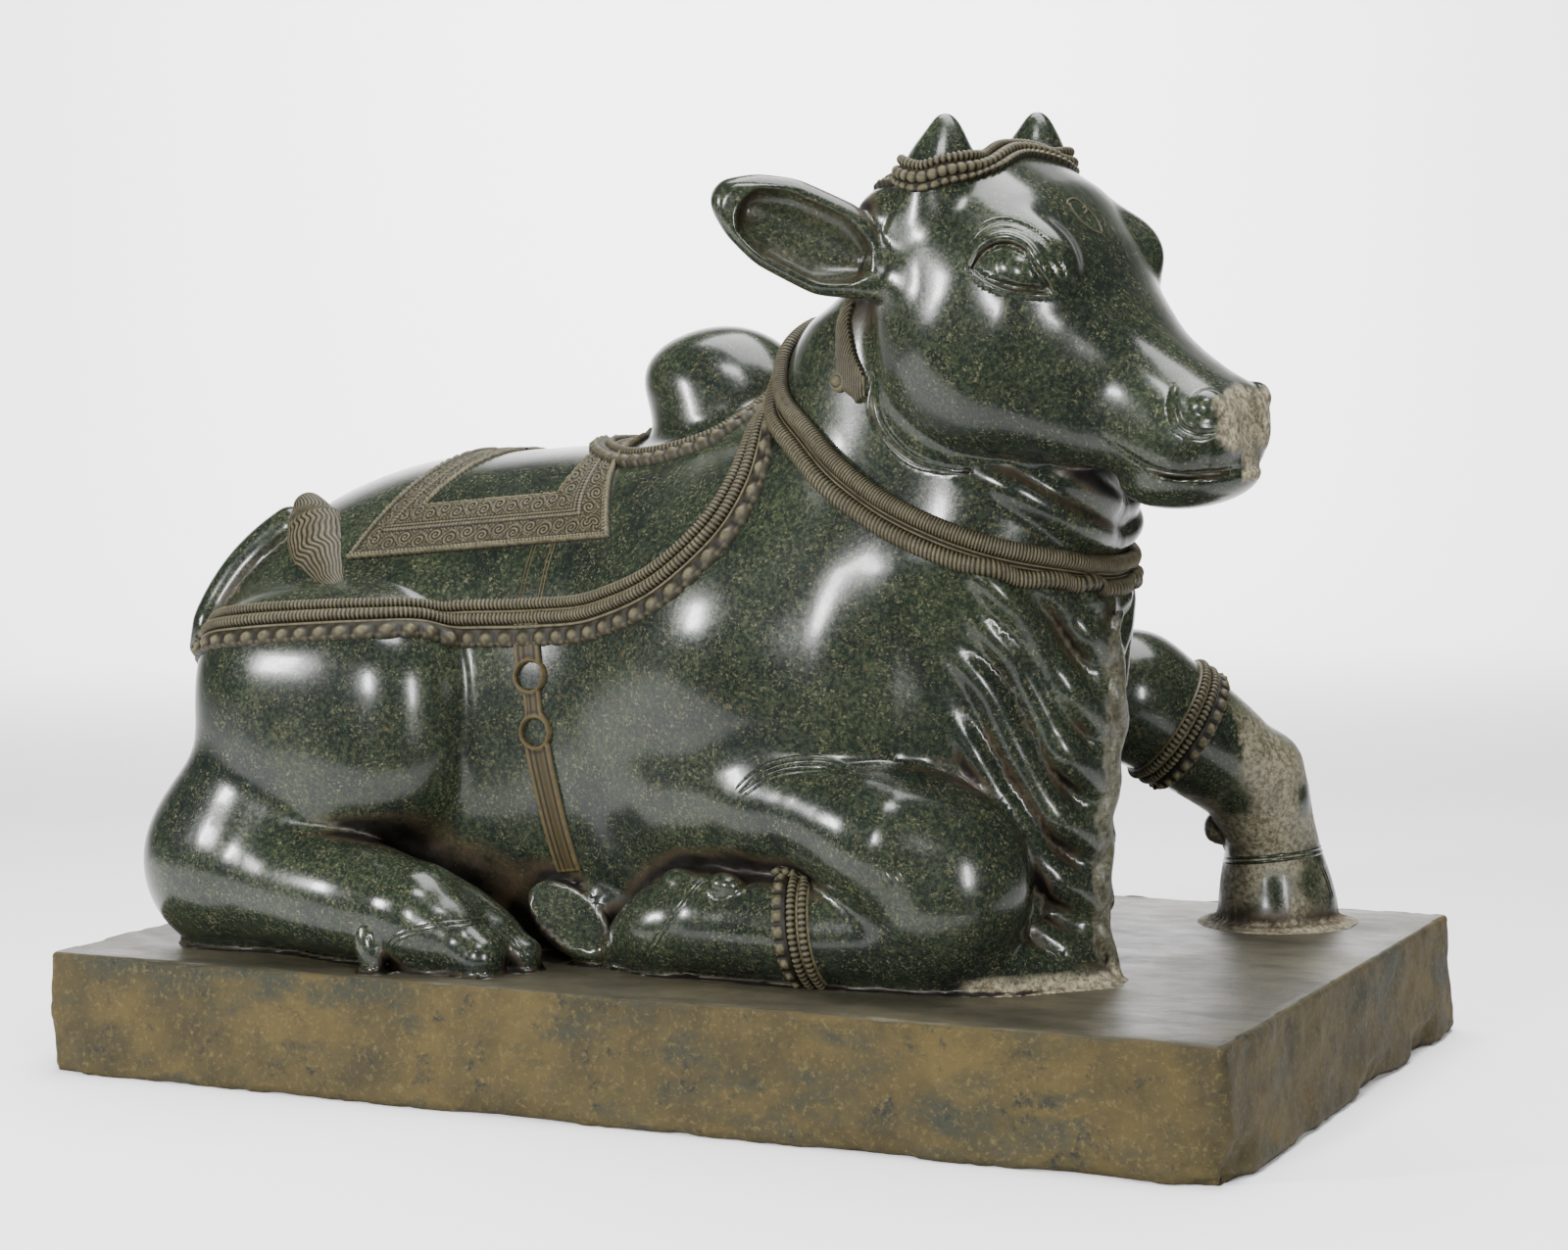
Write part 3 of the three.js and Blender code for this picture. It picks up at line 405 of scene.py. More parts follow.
skull = loft(
    start=-40,
    end=294,
    high=[
        [-40, 72], [-22, 98], [0, 108], [51, 107], [106, 88], [154, 61], [202, 45], [244, 40], [270, 38],
        [286, 26], [294, 8],
    ],
    low=[
        [-40, -10], [-13, -61], [17, -88], [50, -106], [99, -110], [143, -96], [191, -78], [233, -62],
        [277, -52], [294, -30],
    ],
    side=[
        [-40, 62], [-20, 100], [20, 112], [60, 117], [100, 112], [150, 90], [200, 67], [244, 57],
        [270, 56], [286, 46], [294, 32],
    ],
    middle=[[0, 0], [1, 0]],
    power=2.7,
    centre=(180, 0, 535),
    reach=230,
    axes=skull_axes,
)


def leaf_ear():
    """An ear: a leaf with a hollow, from its root to its tip."""
    root, tip = np.array([64.0, -92, 580]), np.array([-73.0, -170, 665])
    facing = np.array([0.5, -0.86, -0.05])
    along = tip - root
    length = np.linalg.norm(along)
    along /= length
    out = facing - along * (facing @ along)
    out /= np.linalg.norm(out)
    across = np.cross(along, out)
    half = profile([[0, 17], [30, 27], [70, 39], [110, 38], [145, 29], [163, 19], [173, 11], [179, 4]])
    hollow = profile([[26, 1], [42, 18], [75, 31], [110, 30], [140, 20], [158, 3]])
    end, hollow_end, rim = 176, 150, 11
    thickness, cup_depth = 20, 24
    margin = 40

    def distance(p):
        q = p - root
        a, b, c = q @ along, q @ out, q @ across
        at = np.clip(a, 0, end)
        w = half(at)
        thick = np.minimum(w, thickness)
        outer = (np.hypot(c / w, (b + 6) / thick) - 1) * thick
        shell = smooth_max(outer, np.maximum(a - end, -a), 6)
        h = hollow(at)
        cup = (np.hypot(c / h, (b - 14) / cup_depth) - 1) * np.minimum(h, cup_depth) * 0.8
        cup = smooth_max(cup, a - hollow_end, 8)
        return smooth_max(smooth_max(shell, -cup, 3), b - rim, 4)

    return Form(distance, root + along * length / 2, length / 2 + margin)


# The face's right half. Each form comes with the length over which it blends into those before it.
face_forms = [
    (skull, 0),
    # the cheek, the muzzle with its side, and the lower lip
    (ellipsoid((92, -36, 525), (95, 66, 98)), 16),
    (ellipsoid((256, 0, 460), (66, 59, 38), (0, 20, 0)), 24),
    (ellipsoid((290, -28, 455), (34, 27, 31)), 16),
    (ellipsoid((270, 0, 418), (57, 50, 25), (0, -4, 0)), 12),
    # the swelling about the eye, and the eyeball
    (ellipsoid((167, -72, 596), (43, 26, 33), (0, 25, 0)), 14),
    (ellipsoid((167, -88, 589), (27, 21, 21), (0, 20, 0)), 2),
    # the corner of the poll, and the horn in two steps
    (ellipsoid((52, -70, 630), (46, 34, 34)), 16),
    (ellipsoid((86, -75, 650), (34, 32, 50)), 12),
    (ellipsoid((91, -74, 668), (21, 20, 47)), 10),
    # the ear's root and the ear
    (tube([[64, -70, 577, 34], [60, -87, 585, 24], [46, -97, 592, 17]]), 16),
    (leaf_ear(), 5),
]
plain_face = blended(face_forms)
TUBE_POINTS = 14


def along_face(keys, radii, lift):
    """A thin tube laid on the face, for a ridge or for a groove."""
    sizes = graded([[i / (len(radii) - 1), r] for i, r in enumerate(radii)], TUBE_POINTS)
    return tube_of(settle(plain_face, smooth_line(keys, TUBE_POINTS), lift), sizes)


# The eye's opening lies between a thick upper lid and a thin lower one, below a second, softer fold.
UPPER_LID = [
    [136, -113, 594], [144, -108, 610], [160, -100, 616], [179, -98, 610], [194, -97, 591], [201, -88, 568],
]
LOWER_LID = [[136, -113, 591], [149, -112, 580], [166, -106, 572], [181, -100, 569], [198, -90, 567]]
BROW = [
    [128, -112, 594], [138, -106, 618], [153, -95, 628], [172, -90, 625], [194, -90, 609], [206, -84, 584],
]
OPENING = [
    [138, -113, 592], [148, -108, 605], [160, -101, 610], [177, -99, 604], [189, -99, 588], [195, -91, 571],
    [181, -99, 575], [167, -105, 578], [150, -111, 584], [138, -113, 592],
]
face_ridges = [
    (along_face(UPPER_LID, (2.5, 4.8, 5.2, 4.8, 2.5), 0.2), 1.5),
    (along_face(LOWER_LID, (1.8, 2.8, 2.8, 2.8, 1.8), 0.0), 1.5),
    (ellipsoid((305, -41, 476), (16, 14, 14)), 2),
]
mouth = tube([
    [222, -69, 461, 2], [238, -63, 446, 3], [260, -56, 431, 3.4], [283, -51, 425, 3.4], [307, -40, 424, 3.4],
    [323, -22, 425, 3.4], [330, 0, 427, 3.4],
])
nostril = tube([
    [282, -48, 497, 1.5], [283, -56, 482, 3.4], [290, -61, 465, 4], [306, -57, 456, 3.6], [322, -43, 457, 2],
])
face_grooves = [
    (along_face(OPENING, (2.0, 2.6, 2.6, 2.6, 2.0), 0.4), 1.2),
    (along_face(BROW, (1.2, 2.4, 2.6, 2.4, 1.2), 0.6), 2.0),
    (mouth, 2.0),
    (nostril, 2.0),
]
FACE_REACH = 20  # how far from the plain face its ridges and grooves are worked out


def face(q):
    d = plain_face(q)
    near = np.flatnonzero(np.abs(d) < FACE_REACH)
    if len(near):
        local, spots = d[near], q[near]
        for groove, k in face_grooves:
            local = smooth_max(local, -groove.distance(spots), k)
        for form, k in face_ridges:
            local = smooth_min(local, form.distance(spots), k)
        d[near] = local
    return d


# The muzzle's tip is broken away along a ragged face that leans back a little as it rises.
BREAK_PLACE, BREAK_HEIGHT, BREAK_LEAN = 319, 455, 0.1
BREAK_FROM, BREAK_LOW, BREAK_HIGH, BREAK_REACH = 285, 424, 512, 40


def lost_tip(u, v, z):
    """How far forward a point lies on the muzzle, past 0 where the stone is broken away."""
    spots = np.stack([u, v, z], 1)
    ragged = 5.0 * noise(spots, 17, 1) + 2.5 * noise(spots, 8, 2)
    return u + BREAK_LEAN * (z - BREAK_HEIGHT) - BREAK_PLACE - ragged


def head_distance(p):
    u, v, z = to_head(p)
    q = np.stack([u, -np.abs(v), z], 1)
    d = face(q)
    at_tip = (u > BREAK_FROM) & (z > BREAK_LOW) & (z < BREAK_HIGH)
    tip = np.flatnonzero(at_tip & (np.abs(d) < BREAK_REACH))
    if len(tip):
        spots = np.stack([u[tip], v[tip], z[tip]], 1)
        past = lost_tip(u[tip], v[tip], z[tip])
        pits = 1.5 + 2.2 * noise(spots, 9, 3) + 1.6 * noise(spots, 4.5, 4)
        worn = d[tip] + smooth_step(-2, 6, past) * pits
        d[tip] = smooth_max(worn, past - 5 - 2.5 * noise(spots, 5, 5), 2)
    return d


head = Form(head_distance, from_head([[140, 0, 550]])[0], 330)

# The dewlap: a keel from the throat to the slab. Each level is a wedge that thins to the front edge.
dewlap_edge = profile([
    [-20, 392], [15, 374], [80, 372], [138, 376], [187, 383], [244, 388], [293, 394], [340, 410],
])
DEWLAP_LOW, DEWLAP_HIGH, DEWLAP_BACK = -20, 330, 120
DEWLAP_LINE = -110  # where its front edge lies across the figure


def dewlap_distance(p):
    x, y, z = p.T
    level = np.clip(z, DEWLAP_LOW, DEWLAP_HIGH + 20)
    edge = dewlap_edge(level)
    back = np.maximum(edge - x, 0)
    half = 14 + 92 * (1 - np.exp(-back / 90))
    middle = DEWLAP_LINE + 0.32 * back + 4 * np.sin(level / 8) * np.exp(-back / 30)
    side = (np.abs(y - middle) - half) * 0.75
    d = smooth_max(smooth_max(side, x - edge, 14), DEWLAP_BACK - x, 30)
    return smooth_max(d, z - DEWLAP_HIGH, 80)


dewlap = Form(dewlap_distance, (260, -80, 160), 300)

# The plane that cuts the upturned sole, and where the raised hoof stands.
SOLE_SPOT = np.array([-78.0, -212, 40])
SOLE_WAY = np.array([0.26, -0.88, 0.40])
RAISED_HOOF = (416, 224)


def flat_sole():
    """The upturned foot beside the hoof: a stub whose end is cut off flat."""
    stub = ellipsoid((-82, -200, 35), (48, 30, 27), (0, 34, 0))

    def distance(p):
        return smooth_max(stub.distance(p), (p - SOLE_SPOT) @ SOLE_WAY, 3)

    return Form(distance, stub.centre, stub.reach)


body_forms = [
    (trunk, 0),
    # the rump and both haunches
    (ellipsoid((-385, -88, 195), (126, 158, 172)), 40),
    (ellipsoid((-385, 88, 185), (130, 158, 178)), 40),
    (ellipsoid((-440, 0, 150), (98, 160, 205)), 36),
    (ellipsoid((-322, -150, 207), (147, 132, 124), power=2.8), 10),
    (ellipsoid((-300, 150, 150), (150, 110, 140)), 40),
    # both shoulders, the neck, the dewlap and the hump
    (ellipsoid((85, -118, 268), (150, 126, 150)), 50),
    (ellipsoid((85, 118, 262), (150, 122, 155)), 50),
    (neck, 45),
    (dewlap, 30),
    (ellipsoid((-18, 0, 462), (78, 70, 84), (0, -6, 0)), 14),
    (ellipsoid((-40, 0, 502), (64, 60, 44)), 18),
    # the bent right foreleg: upper arm, forearm, knee, the shank folded back, and the hoof
    (tube([[26, -172, 146, 52], [70, -186, 146, 49], [112, -196, 147, 49]]), 36),
    (tube([[104, -198, 147, 49], [150, -206, 146, 50], [225, -204, 120, 66]]), 9),
    (ellipsoid((258, -192, 84), (80, 66, 88)), 16),
    (tube([[250, -192, 50, 52], [170, -210, 44, 45], [110, -216, 45, 43], [62, -216, 45, 42]]), 8),
    (tube([[66, -214, 50, 40], [20, -212, 38, 40], [-20, -208, 22, 26], [-36, -206, 12, 14]]), 6),
    # the right hind leg: hock, shank, the two claws of its hoof, and a dewclaw
    (ellipsoid((-425, -212, 74), (78, 70, 80)), 56),
    (tube([[-425, -213, 74, 70], [-390, -228, 70, 64], [-350, -240, 64, 57]]), 50),
    (tube([[-385, -230, 68, 62], [-340, -245, 62, 58], [-260, -262, 54, 52], [-196, -268, 46, 44]]), 8),
    (tube([[-200, -268, 42, 44], [-160, -272, 28, 36], [-128, -280, 14, 22]]), 6),
    (tube([[-180, -250, 40, 36], [-130, -248, 22, 26], [-104, -247, 12, 16]]), 6),
    (ellipsoid((-224, -303, 20), (14, 12, 24), (0, -14, 0)), 2),
    # the upturned foot beside the hoof
    (tube([[40, -120, 36, 26], [-10, -158, 50, 24], [-60, -176, 52, 22]]), 8),
    (flat_sole(), 3),
    # the raised left foreleg: forearm, shank, fetlock, dewclaw and hoof
    (tube([[150, 70, 205, 64], [250, 95, 210, 56], [316, 118, 216, 54]]), 20),
    (tube([[312, 118, 214, 57], [356, 148, 180, 54], [390, 178, 145, 48], [408, 200, 112, 42]]), 12),
    (ellipsoid((415, 200, 142), (32, 34, 34)), 14),
    (ellipsoid((366, 200, 86), (12, 12, 15)), 4),
    (tube([
        [408, 202, 110, 42], [412, 216, 78, 42], [414, 222, 40, 50], [*RAISED_HOOF, 6, 55],
        [*RAISED_HOOF, -16, 55],
    ]), 10),
    # the stone left between the knee and the dewlap, and under the raised hoof
    (tube([[296, -186, 22, 30], [330, -162, 10, 24], [372, -130, -2, 16]]), 12),
    (ellipsoid((*RAISED_HOOF, -3), (66, 64, 13)), 3),
    # the bent foreleg's dewclaws, the poll and the head
    (ellipsoid((38, -222, 78), (20, 16, 14)), 5),
    (ellipsoid((88, -240, 82), (16, 12, 11)), 5),
    (ellipsoid((242, -122, 612), (58, 88, 54), (0, 0, -8)), 36),
    (head, 7),
]
body = blended(body_forms)

# The folds of the dewlap sweep down to its front edge.
FOLDS = [
    [[350, -145, 335], [362, -135, 322], [376, -122, 306]],
    [[325, -172, 338], [348, -152, 320], [362, -136, 296], [374, -124, 272]],
    [
        [275, -208, 352], [299, -198, 341], [326, -174, 307], [345, -150, 263], [360, -136, 234],
        [372, -124, 214],
    ],
    [
        [285, -200, 318], [303, -187, 295], [320, -168, 268], [335, -153, 231], [350, -144, 196],
        [370, -124, 164],
    ],
    [
        [258, -205, 288], [280, -196, 271], [300, -180, 245], [312, -164, 208], [328, -152, 168],
        [345, -142, 138], [368, -124, 114],
    ],
    [
        [262, -190, 240], [276, -180, 210], [292, -168, 176], [308, -160, 143], [330, -146, 103],
        [350, -134, 80], [368, -122, 62],
    ],
    [[275, -175, 110], [296, -162, 74], [325, -145, 44], [364, -122, 16]],
]
FOLD_SIZES = [9, 13, 16, 17, 17, 16, 14]
FOLD_MIDDLE, THROAT_MIDDLE = -100, -98
FOLD_STEP = 18
THROAT_SIZE = 13
FOLD_BLEND, THROAT_BLEND, HEM_BLEND, TAIL_BLEND = 6, 12, 2, 6


def fold(keys, radius):
    """A soft roll laid on the body, sunk at both ends."""
    line = catmull_rom(keys, CURVE_POINTS)
    line = even(line, max(4, math.ceil(length_of(line) / FOLD_STEP)))
    lift = graded([[0, -0.8], [0.3, -0.15], [0.8, 0.05], [1, -0.4]], len(line)) * radius
    radii = graded([[0, 0.6], [0.3, 0.9], [0.75, 1.05], [1, 0.9]], len(line)) * radius
    return tube_of(settle(body, line, lift), radii)


folds = [
    fold(side, size)
    for keys, size in zip(FOLDS, FOLD_SIZES)
    for side in (keys, mirrored(keys, FOLD_MIDDLE))
]
THROAT_FOLDS = [
    [[294, -207, 426], [319, -197, 414], [346, -180, 398], [366, -151, 380], [376, -108, 366]],
    [[339, -194, 434], [360, -167, 419], [376, -137, 404], [381, -105, 392]],
]
throat = [
    fold(side, THROAT_SIZE)
    for keys in THROAT_FOLDS
    for side in (keys, mirrored(keys, THROAT_MIDDLE))
]


def dewlap_hem():
    """The plain waving strip down the dewlap's front, where the folds end."""
    z = np.linspace(4, 306, 27)
    top = smooth_step(240, 300, z)
    x = dewlap_edge(z) - 1.5 + 1.5 * np.sin(z / 11) - 9 * top
    y = DEWLAP_LINE + 4 * np.sin(z / 8) + 2.5 * np.sin(z / 14)
    return tube_of(np.stack([x, y, z], 1), 9.0 - 5 * top)


TAIL = [
    [-474, -178, 262], [-470, -184, 278], [-467, -178, 302], [-455, -170, 332], [-436, -160, 357],
    [-408, -150, 380],
]
TAIL_LIFT = 6.0
tail_line = settle(body, smooth_line(TAIL, TUBE_POINTS), TAIL_LIFT)
tail = tube_of(tail_line, graded([[0, 13], [0.2, 18], [1, 19]], TUBE_POINTS))

# The crease behind the jaw, in the head's own frame.
JAW = [
    [27, -86, 507], [28, -84, 479], [39, -84, 459], [61, -81, 440], [85, -76, 432], [108, -70, 429],
]
CREASE_POINTS = 18
CREASE_FROM, CREASE_ABOVE, CREASE_REACH = 190, 400, 14  # the part of the figure where it is cut


def jaw_crease(keys):
    line = settle(body, smooth_line(from_head(keys), CREASE_POINTS))
    return tube_of(line, graded([[0, 1.5], [0.2, 3.4], [0.6, 3.2], [1, 1]], CREASE_POINTS))


creases = [jaw_crease(JAW), jaw_crease(mirrored(JAW))]
uncut = blended(
    body_forms
    + [(form, FOLD_BLEND) for form in folds]
    + [(form, THROAT_BLEND) for form in throat]
    + [(dewlap_hem(), HEM_BLEND), (tail, TAIL_BLEND)]
)


def carved(p):
    """The whole figure, with the creases cut into it."""
    d = uncut(p)
    in_reach = (p[:, 0] > CREASE_FROM) & (p[:, 2] > CREASE_ABOVE)
    near = np.flatnonzero(in_reach & (np.abs(d) < CREASE_REACH))
    if len(near):
        for crease in creases:
            d[near] = smooth_max(d[near], -crease.distance(p[near]), 4)
    return d


# Walking the field.
BLOCKS = ((8, 12), (2, 3))  # sides of large and small blocks in cells, and what is added to their reach
BLOCK_REACH = 0.866 * 1.6  # half a block's diagonal for each of its side, and room for a rough field
NET_BATCH, DRAW_BATCH = 40000, 20000  # points worked out at a time


def surface_net(field, low, high, cell):
    """Closed surface where the field is nought, as corner points and quads.

    The box is divided into blocks, those near the surface into smaller ones, and only the nodes of the
    small blocks near the surface are worked out.
    """
    low = np.array(low, float)
    (large, _), (small, _) = BLOCKS
    blocks = np.ceil((np.array(high) - low) / (cell * large)).astype(int)
    size = blocks * large + 1
    values = np.zeros(size, np.float32)
    starts = nodes_of(*(np.arange(b) for b in blocks)) * large
    for wide, margin in BLOCKS:
        inner = nodes_of(*[np.arange(wide + 1)] * 3)
        middle = field(low + (starts + wide / 2) * cell)
        nodes = (starts[:, None] + inner).reshape(-1, 3)
        values[tuple(nodes.T)] = np.repeat(middle, len(inner))
        starts = starts[np.abs(middle) < wide * cell * BLOCK_REACH + margin]
        if wide == large:
            starts = (starts[:, None] + nodes_of(*[np.arange(0, large, small)] * 3)).reshape(-1, 3)
    near = np.zeros(size, bool)
    near[tuple((starts[:, None] + inner).reshape(-1, 3).T)] = True
    spots = np.stack(np.nonzero(near), 1)
    for part in np.array_split(spots, max(1, len(spots) // NET_BATCH)):
        values[tuple(part.T)] = field(low + part * cell)
    inside = values < 0
    corners = sum(
        inside[i:size[0] - 1 + i, j:size[1] - 1 + j, k:size[2] - 1 + k].astype(np.uint8)
        for i in (0, 1) for j in (0, 1) for k in (0, 1)
    )
    cells = np.stack(np.nonzero((corners > 0) & (corners < 8)), 1)
    number = np.full(size - 1, -1, np.int64)
    number[tuple(cells.T)] = np.arange(len(cells))
    total = np.zeros((len(cells), 3))
    count = np.zeros(len(cells))
    for axis in range(3):
        others = [a for a in range(3) if a != axis]
        for aside in ((0, 0), (0, 1), (1, 0), (1, 1)):
            start = cells.copy()
            start[:, others] += aside
            end = start.copy()
            end[:, axis] += 1
            a, b = values[tuple(start.T)], values[tuple(end.T)]
            cross = (a < 0) != (b < 0)
            place = start.astype(float)
            place[:, axis] += np.where(cross, a / np.where(cross, a - b, 1), 0)
            total[cross] += place[cross]
            count += cross
    points = low + total / count[:, None] * cell
    quads = []
    for axis in range(3):
        sides = [(axis + 1) % 3, (axis + 2) % 3]
        lower = [slice(1, -1)] * 3
        upper = [slice(1, -1)] * 3
        lower[axis], upper[axis] = slice(0, -1), slice(1, None)
        ins, outs = inside[tuple(lower)], inside[tuple(upper)]
        for enters in (True, False):
            at = np.stack(np.nonzero(ins & ~outs if enters else ~ins & outs), 1)
            ring = []
            for aside in ((0, 0), (1, 0), (1, 1), (0, 1)) if enters else ((0, 0), (0, 1), (1, 1), (1, 0)):
                corner = at.copy()
                corner[:, sides] += aside
                ring.append(number[tuple(corner.T)])
            quads.append(np.stack(ring, 1))
    return points, np.concatenate(quads)


# Meshes.
def placed(name, data):
    made = bpy.data.objects.new(name, data)
    bpy.context.scene.collection.objects.link(made)
    return made


def mesh_object(name, points, quads, masks, normals=None):
    """A smooth mesh from points in drawing millimetres, with a value of each mask at each point."""
    mesh = bpy.data.meshes.new(name)
    mesh.vertices.add(len(points))
    mesh.vertices.foreach_set("co", ((points + DRAWING_SHIFT) * MM).astype(np.float32).ravel())
    mesh.loops.add(quads.size)
    mesh.loops.foreach_set("vertex_index", quads.astype(np.int32).ravel())
    mesh.polygons.add(len(quads))
    mesh.polygons.foreach_set("loop_start", np.arange(0, quads.size, 4, dtype=np.int32))
    mesh.update(calc_edges=True)
    mesh.validate()
    mesh.shade_smooth()
    if normals is not None:
        mesh.normals_split_custom_set_from_vertices(normals)
    for key, values in masks.items():
        layer = mesh.attributes.new(key, "FLOAT", "POINT")
        layer.data.foreach_set("value", values.astype(np.float32))
    return placed(name, mesh)


def drawn_on(field, points, cell):
    """Points moved onto the field's surface, and its outward normals there."""
    made, ways = [], []
    for part in np.array_split(points, max(1, len(points) // DRAW_BATCH)):
        part = settle(field, part, rounds=2, most=cell * 0.6)
        made.append(part)
        ways.append(unit(slope_of(field, part, cell * 0.3)))
    return np.concatenate(made), np.concatenate(ways)


def recess(field, points, normals, depth):
    """How deep a point sits in a hollow of about `depth`, from 0 on a free face to 1."""
    free = field(points + normals * depth) / depth
    return np.clip(1 - free, 0, 1)


# The collar's line divides the figure into two meshes.
COLLAR = [
    [104, -90, 548], [96, -128, 530], [102, -152, 500], [118, -168, 474], [147, -192, 449],
    [177, -209, 421], [215, -214, 395], [258, -215, 374], [305, -204, 356], [344, -175, 345],
    [372, -140, 338], [386, -100, 336],
]
NECK_MIDDLE = -90
collar_line = profile([[330, 600], [336, 386]] + [[z, x] for x, y, z in reversed(COLLAR[:-1])])
BULL_SINK = 14  # how far the body's mesh goes down into the slab
FOOT_BLEND, FOOT_REACH = 9, 30  # the rounding where the body meets the slab, and up to what height


def above_collar(p):
    return (collar_line(p[:, 2]) - p[:, 0]) * 0.7


def lower_field(p):
    d = carved(p)
    near_slab = smooth_min(d, p[:, 2] + 1.2, FOOT_BLEND)
    footed = np.where(p[:, 2] < FOOT_REACH, near_slab, d)
    d = np.maximum(footed, np.maximum(d - FOOT_BLEND, -BULL_SINK - p[:, 2]))
    return np.maximum(d, -above_collar(p))


def upper_field(p):
    return np.maximum(carved(p), above_collar(p))


GRIME_AND_SHADE = ((8.0, 0.4), (28.0, 0.55), (75.0, 0.45))  # depth of a hollow, and how much it counts


def grime_and_shade_mask(points, normals):
    """Where grime has gathered and where shade is painted: in creases, under overhangs and close above the
    slab.
    """
    # The same mask drives brown grime and painted shade in the material.
    deep = sum(share * recess(carved, points, normals, depth) for depth, share in GRIME_AND_SHADE)
    return np.clip(deep - 0.2 + 0.3 * smooth_step(45, 0, points[:, 2]), 0, 1)


def raw_mask(points):
    """Where the stone is broken or only hewn: the muzzle's tip, and the stone left at the feet."""
    u, v, z = to_head(points)
    tip = smooth_step(-3, 3, lost_tip(u, v, z)) * (z > 415) * (z < 515)
    x, y, z = points.T
    low = smooth_step(15, 7, z + 3 * noise(points, 12, 6))
    web = smooth_step(285, 300, x) * (x < 400) * (y < -60)
    from_hoof = np.hypot(x - RAISED_HOOF[0], y - RAISED_HOOF[1])
    base = smooth_step(84, 66, from_hoof) * smooth_step(13, 4, z + 5 * noise(points, 20, 7))
    leg = smooth_step(225, 165, z) * (x > 350) * (y > 130)
    worn = smooth_step(-0.6, 0.4, noise(points, 26, 8)) * leg
    edge = dewlap_edge(np.clip(z, DEWLAP_LOW, 340))
    hem = (x > edge - 9) * (np.abs(y - DEWLAP_LINE) < 16) * (z < 300)
    return np.maximum.reduce([tip, low * web, base, 0.6 * worn, 0.22 * hem])


def figure_part(name, field, low, high, cell):
    points, quads = surface_net(field, low, high, cell)
    points, normals = drawn_on(field, points, cell)
    masks = {"hollow": grime_and_shade_mask(points, normals), "raw": raw_mask(points)}
    return mesh_object(name, points, quads, masks, normals)


torso = figure_part("bull_body", lower_field, (-570, -350, -24), (480, 320, 640), cell=5.3)
neck_head = figure_part("bull_head", upper_field, (60, -400, 300), (580, 160, 740), cell=2.7)


# Ornaments. A course is a line on the stone, and relief is laid beside it.
SLOPE_STEP = 1.5


class Course:
    """A line laid on the stone through key points. `side` turns its left into its right."""

    def __init__(self, keys, step=7.0, closed=False, side=1):
        self.closed = closed
        self.side = side
        line = catmull_rom(keys, 24 * len(keys), closed)
        count = max(4, round(length_of(line) / step)) + 1
        line = settle(carved, even(line, count), rounds=4)
        self.spots = settle(carved, even(line, count), rounds=2)
        if closed:
            self.spots[-1] = self.spots[0]
            ring = self.spots[:-1]
            along = np.roll(ring, -1, 0) - np.roll(ring, 1, 0)
            along = np.concatenate([along, along[:1]])
        else:
            along = np.gradient(self.spots, axis=0)
        out = unit(slope_of(carved, self.spots, SLOPE_STEP))
        along = unit(along - out * (along * out).sum(1)[:, None])
        self.across = np.cross(out, along) * side
        self.length = length_of(self.spots)

    def lay(self, low, high, step=6.0):
        """A grid of spots on the stone, from `low` to `high` beside the line, and the ways out."""
        count = max(2, math.ceil((high - low) / step) + 1)
        w = np.linspace(low, high, count)
        spots = self.spots[:, None] + self.across[:, None] * w[None, :, None]
        flat = settle(carved, spots.reshape(-1, 3), rounds=3, most=14)
        out = unit(slope_of(carved, flat, SLOPE_STEP))
        return flat.reshape(spots.shape), out.reshape(spots.shape)


def sampled(grid, i, j):
    """Values of a grid between its nodes."""
    i0 = np.clip(np.floor(i).astype(int), 0, grid.shape[0] - 2)
    j0 = np.clip(np.floor(j).astype(int), 0, grid.shape[1] - 2)
    a, b = (i - i0)[..., None], (j - j0)[..., None]
    top = grid[i0, j0] * (1 - a) + grid[i0 + 1, j0] * a
    bottom = grid[i0, j0 + 1] * (1 - a) + grid[i0 + 1, j0 + 1] * a
    return top * (1 - b) + bottom * b


def grid_quads(rows, columns, keep=None):
    index = np.arange(rows * columns).reshape(rows, columns)
    quads = np.stack([index[:-1, :-1], index[1:, :-1], index[1:, 1:], index[:-1, 1:]], -1).reshape(-1, 4)
    return quads if keep is None else quads[keep.reshape(-1)[quads].any(1)]


def soft(values, reach):
    """Values smoothed over `reach` cells each way."""
    for axis in (0, 1):
        total = values.copy()
        for k in range(1, reach + 1):
            total += np.roll(values, k, axis) + np.roll(values, -k, axis)
        values = total / (2 * reach + 1)
    return values


HIDDEN = -1.6  # relief this far below the stone's face is not seen
ornaments = []


def finished(name, points, quads, hollow, side):
    """The mesh of an ornament, without the points that no quad uses."""
    if side < 0:
        quads = quads[:, ::-1]
    used, place = np.unique(quads, return_inverse=True)
    masks = {"hollow": hollow.reshape(-1)[used]}
    made = mesh_object(name, points.reshape(-1, 3)[used], place.reshape(quads.shape), masks)
    ornaments.append(made)
    return made


def raised(name, base, out, lift, hollow, side):
    """A grid lifted off the stone, without what stays hidden below its face."""
    quads = grid_quads(*lift.shape, keep=lift > HIDDEN * 0.9)
    return finished(name, base + out * lift[..., None], quads, hollow, side)


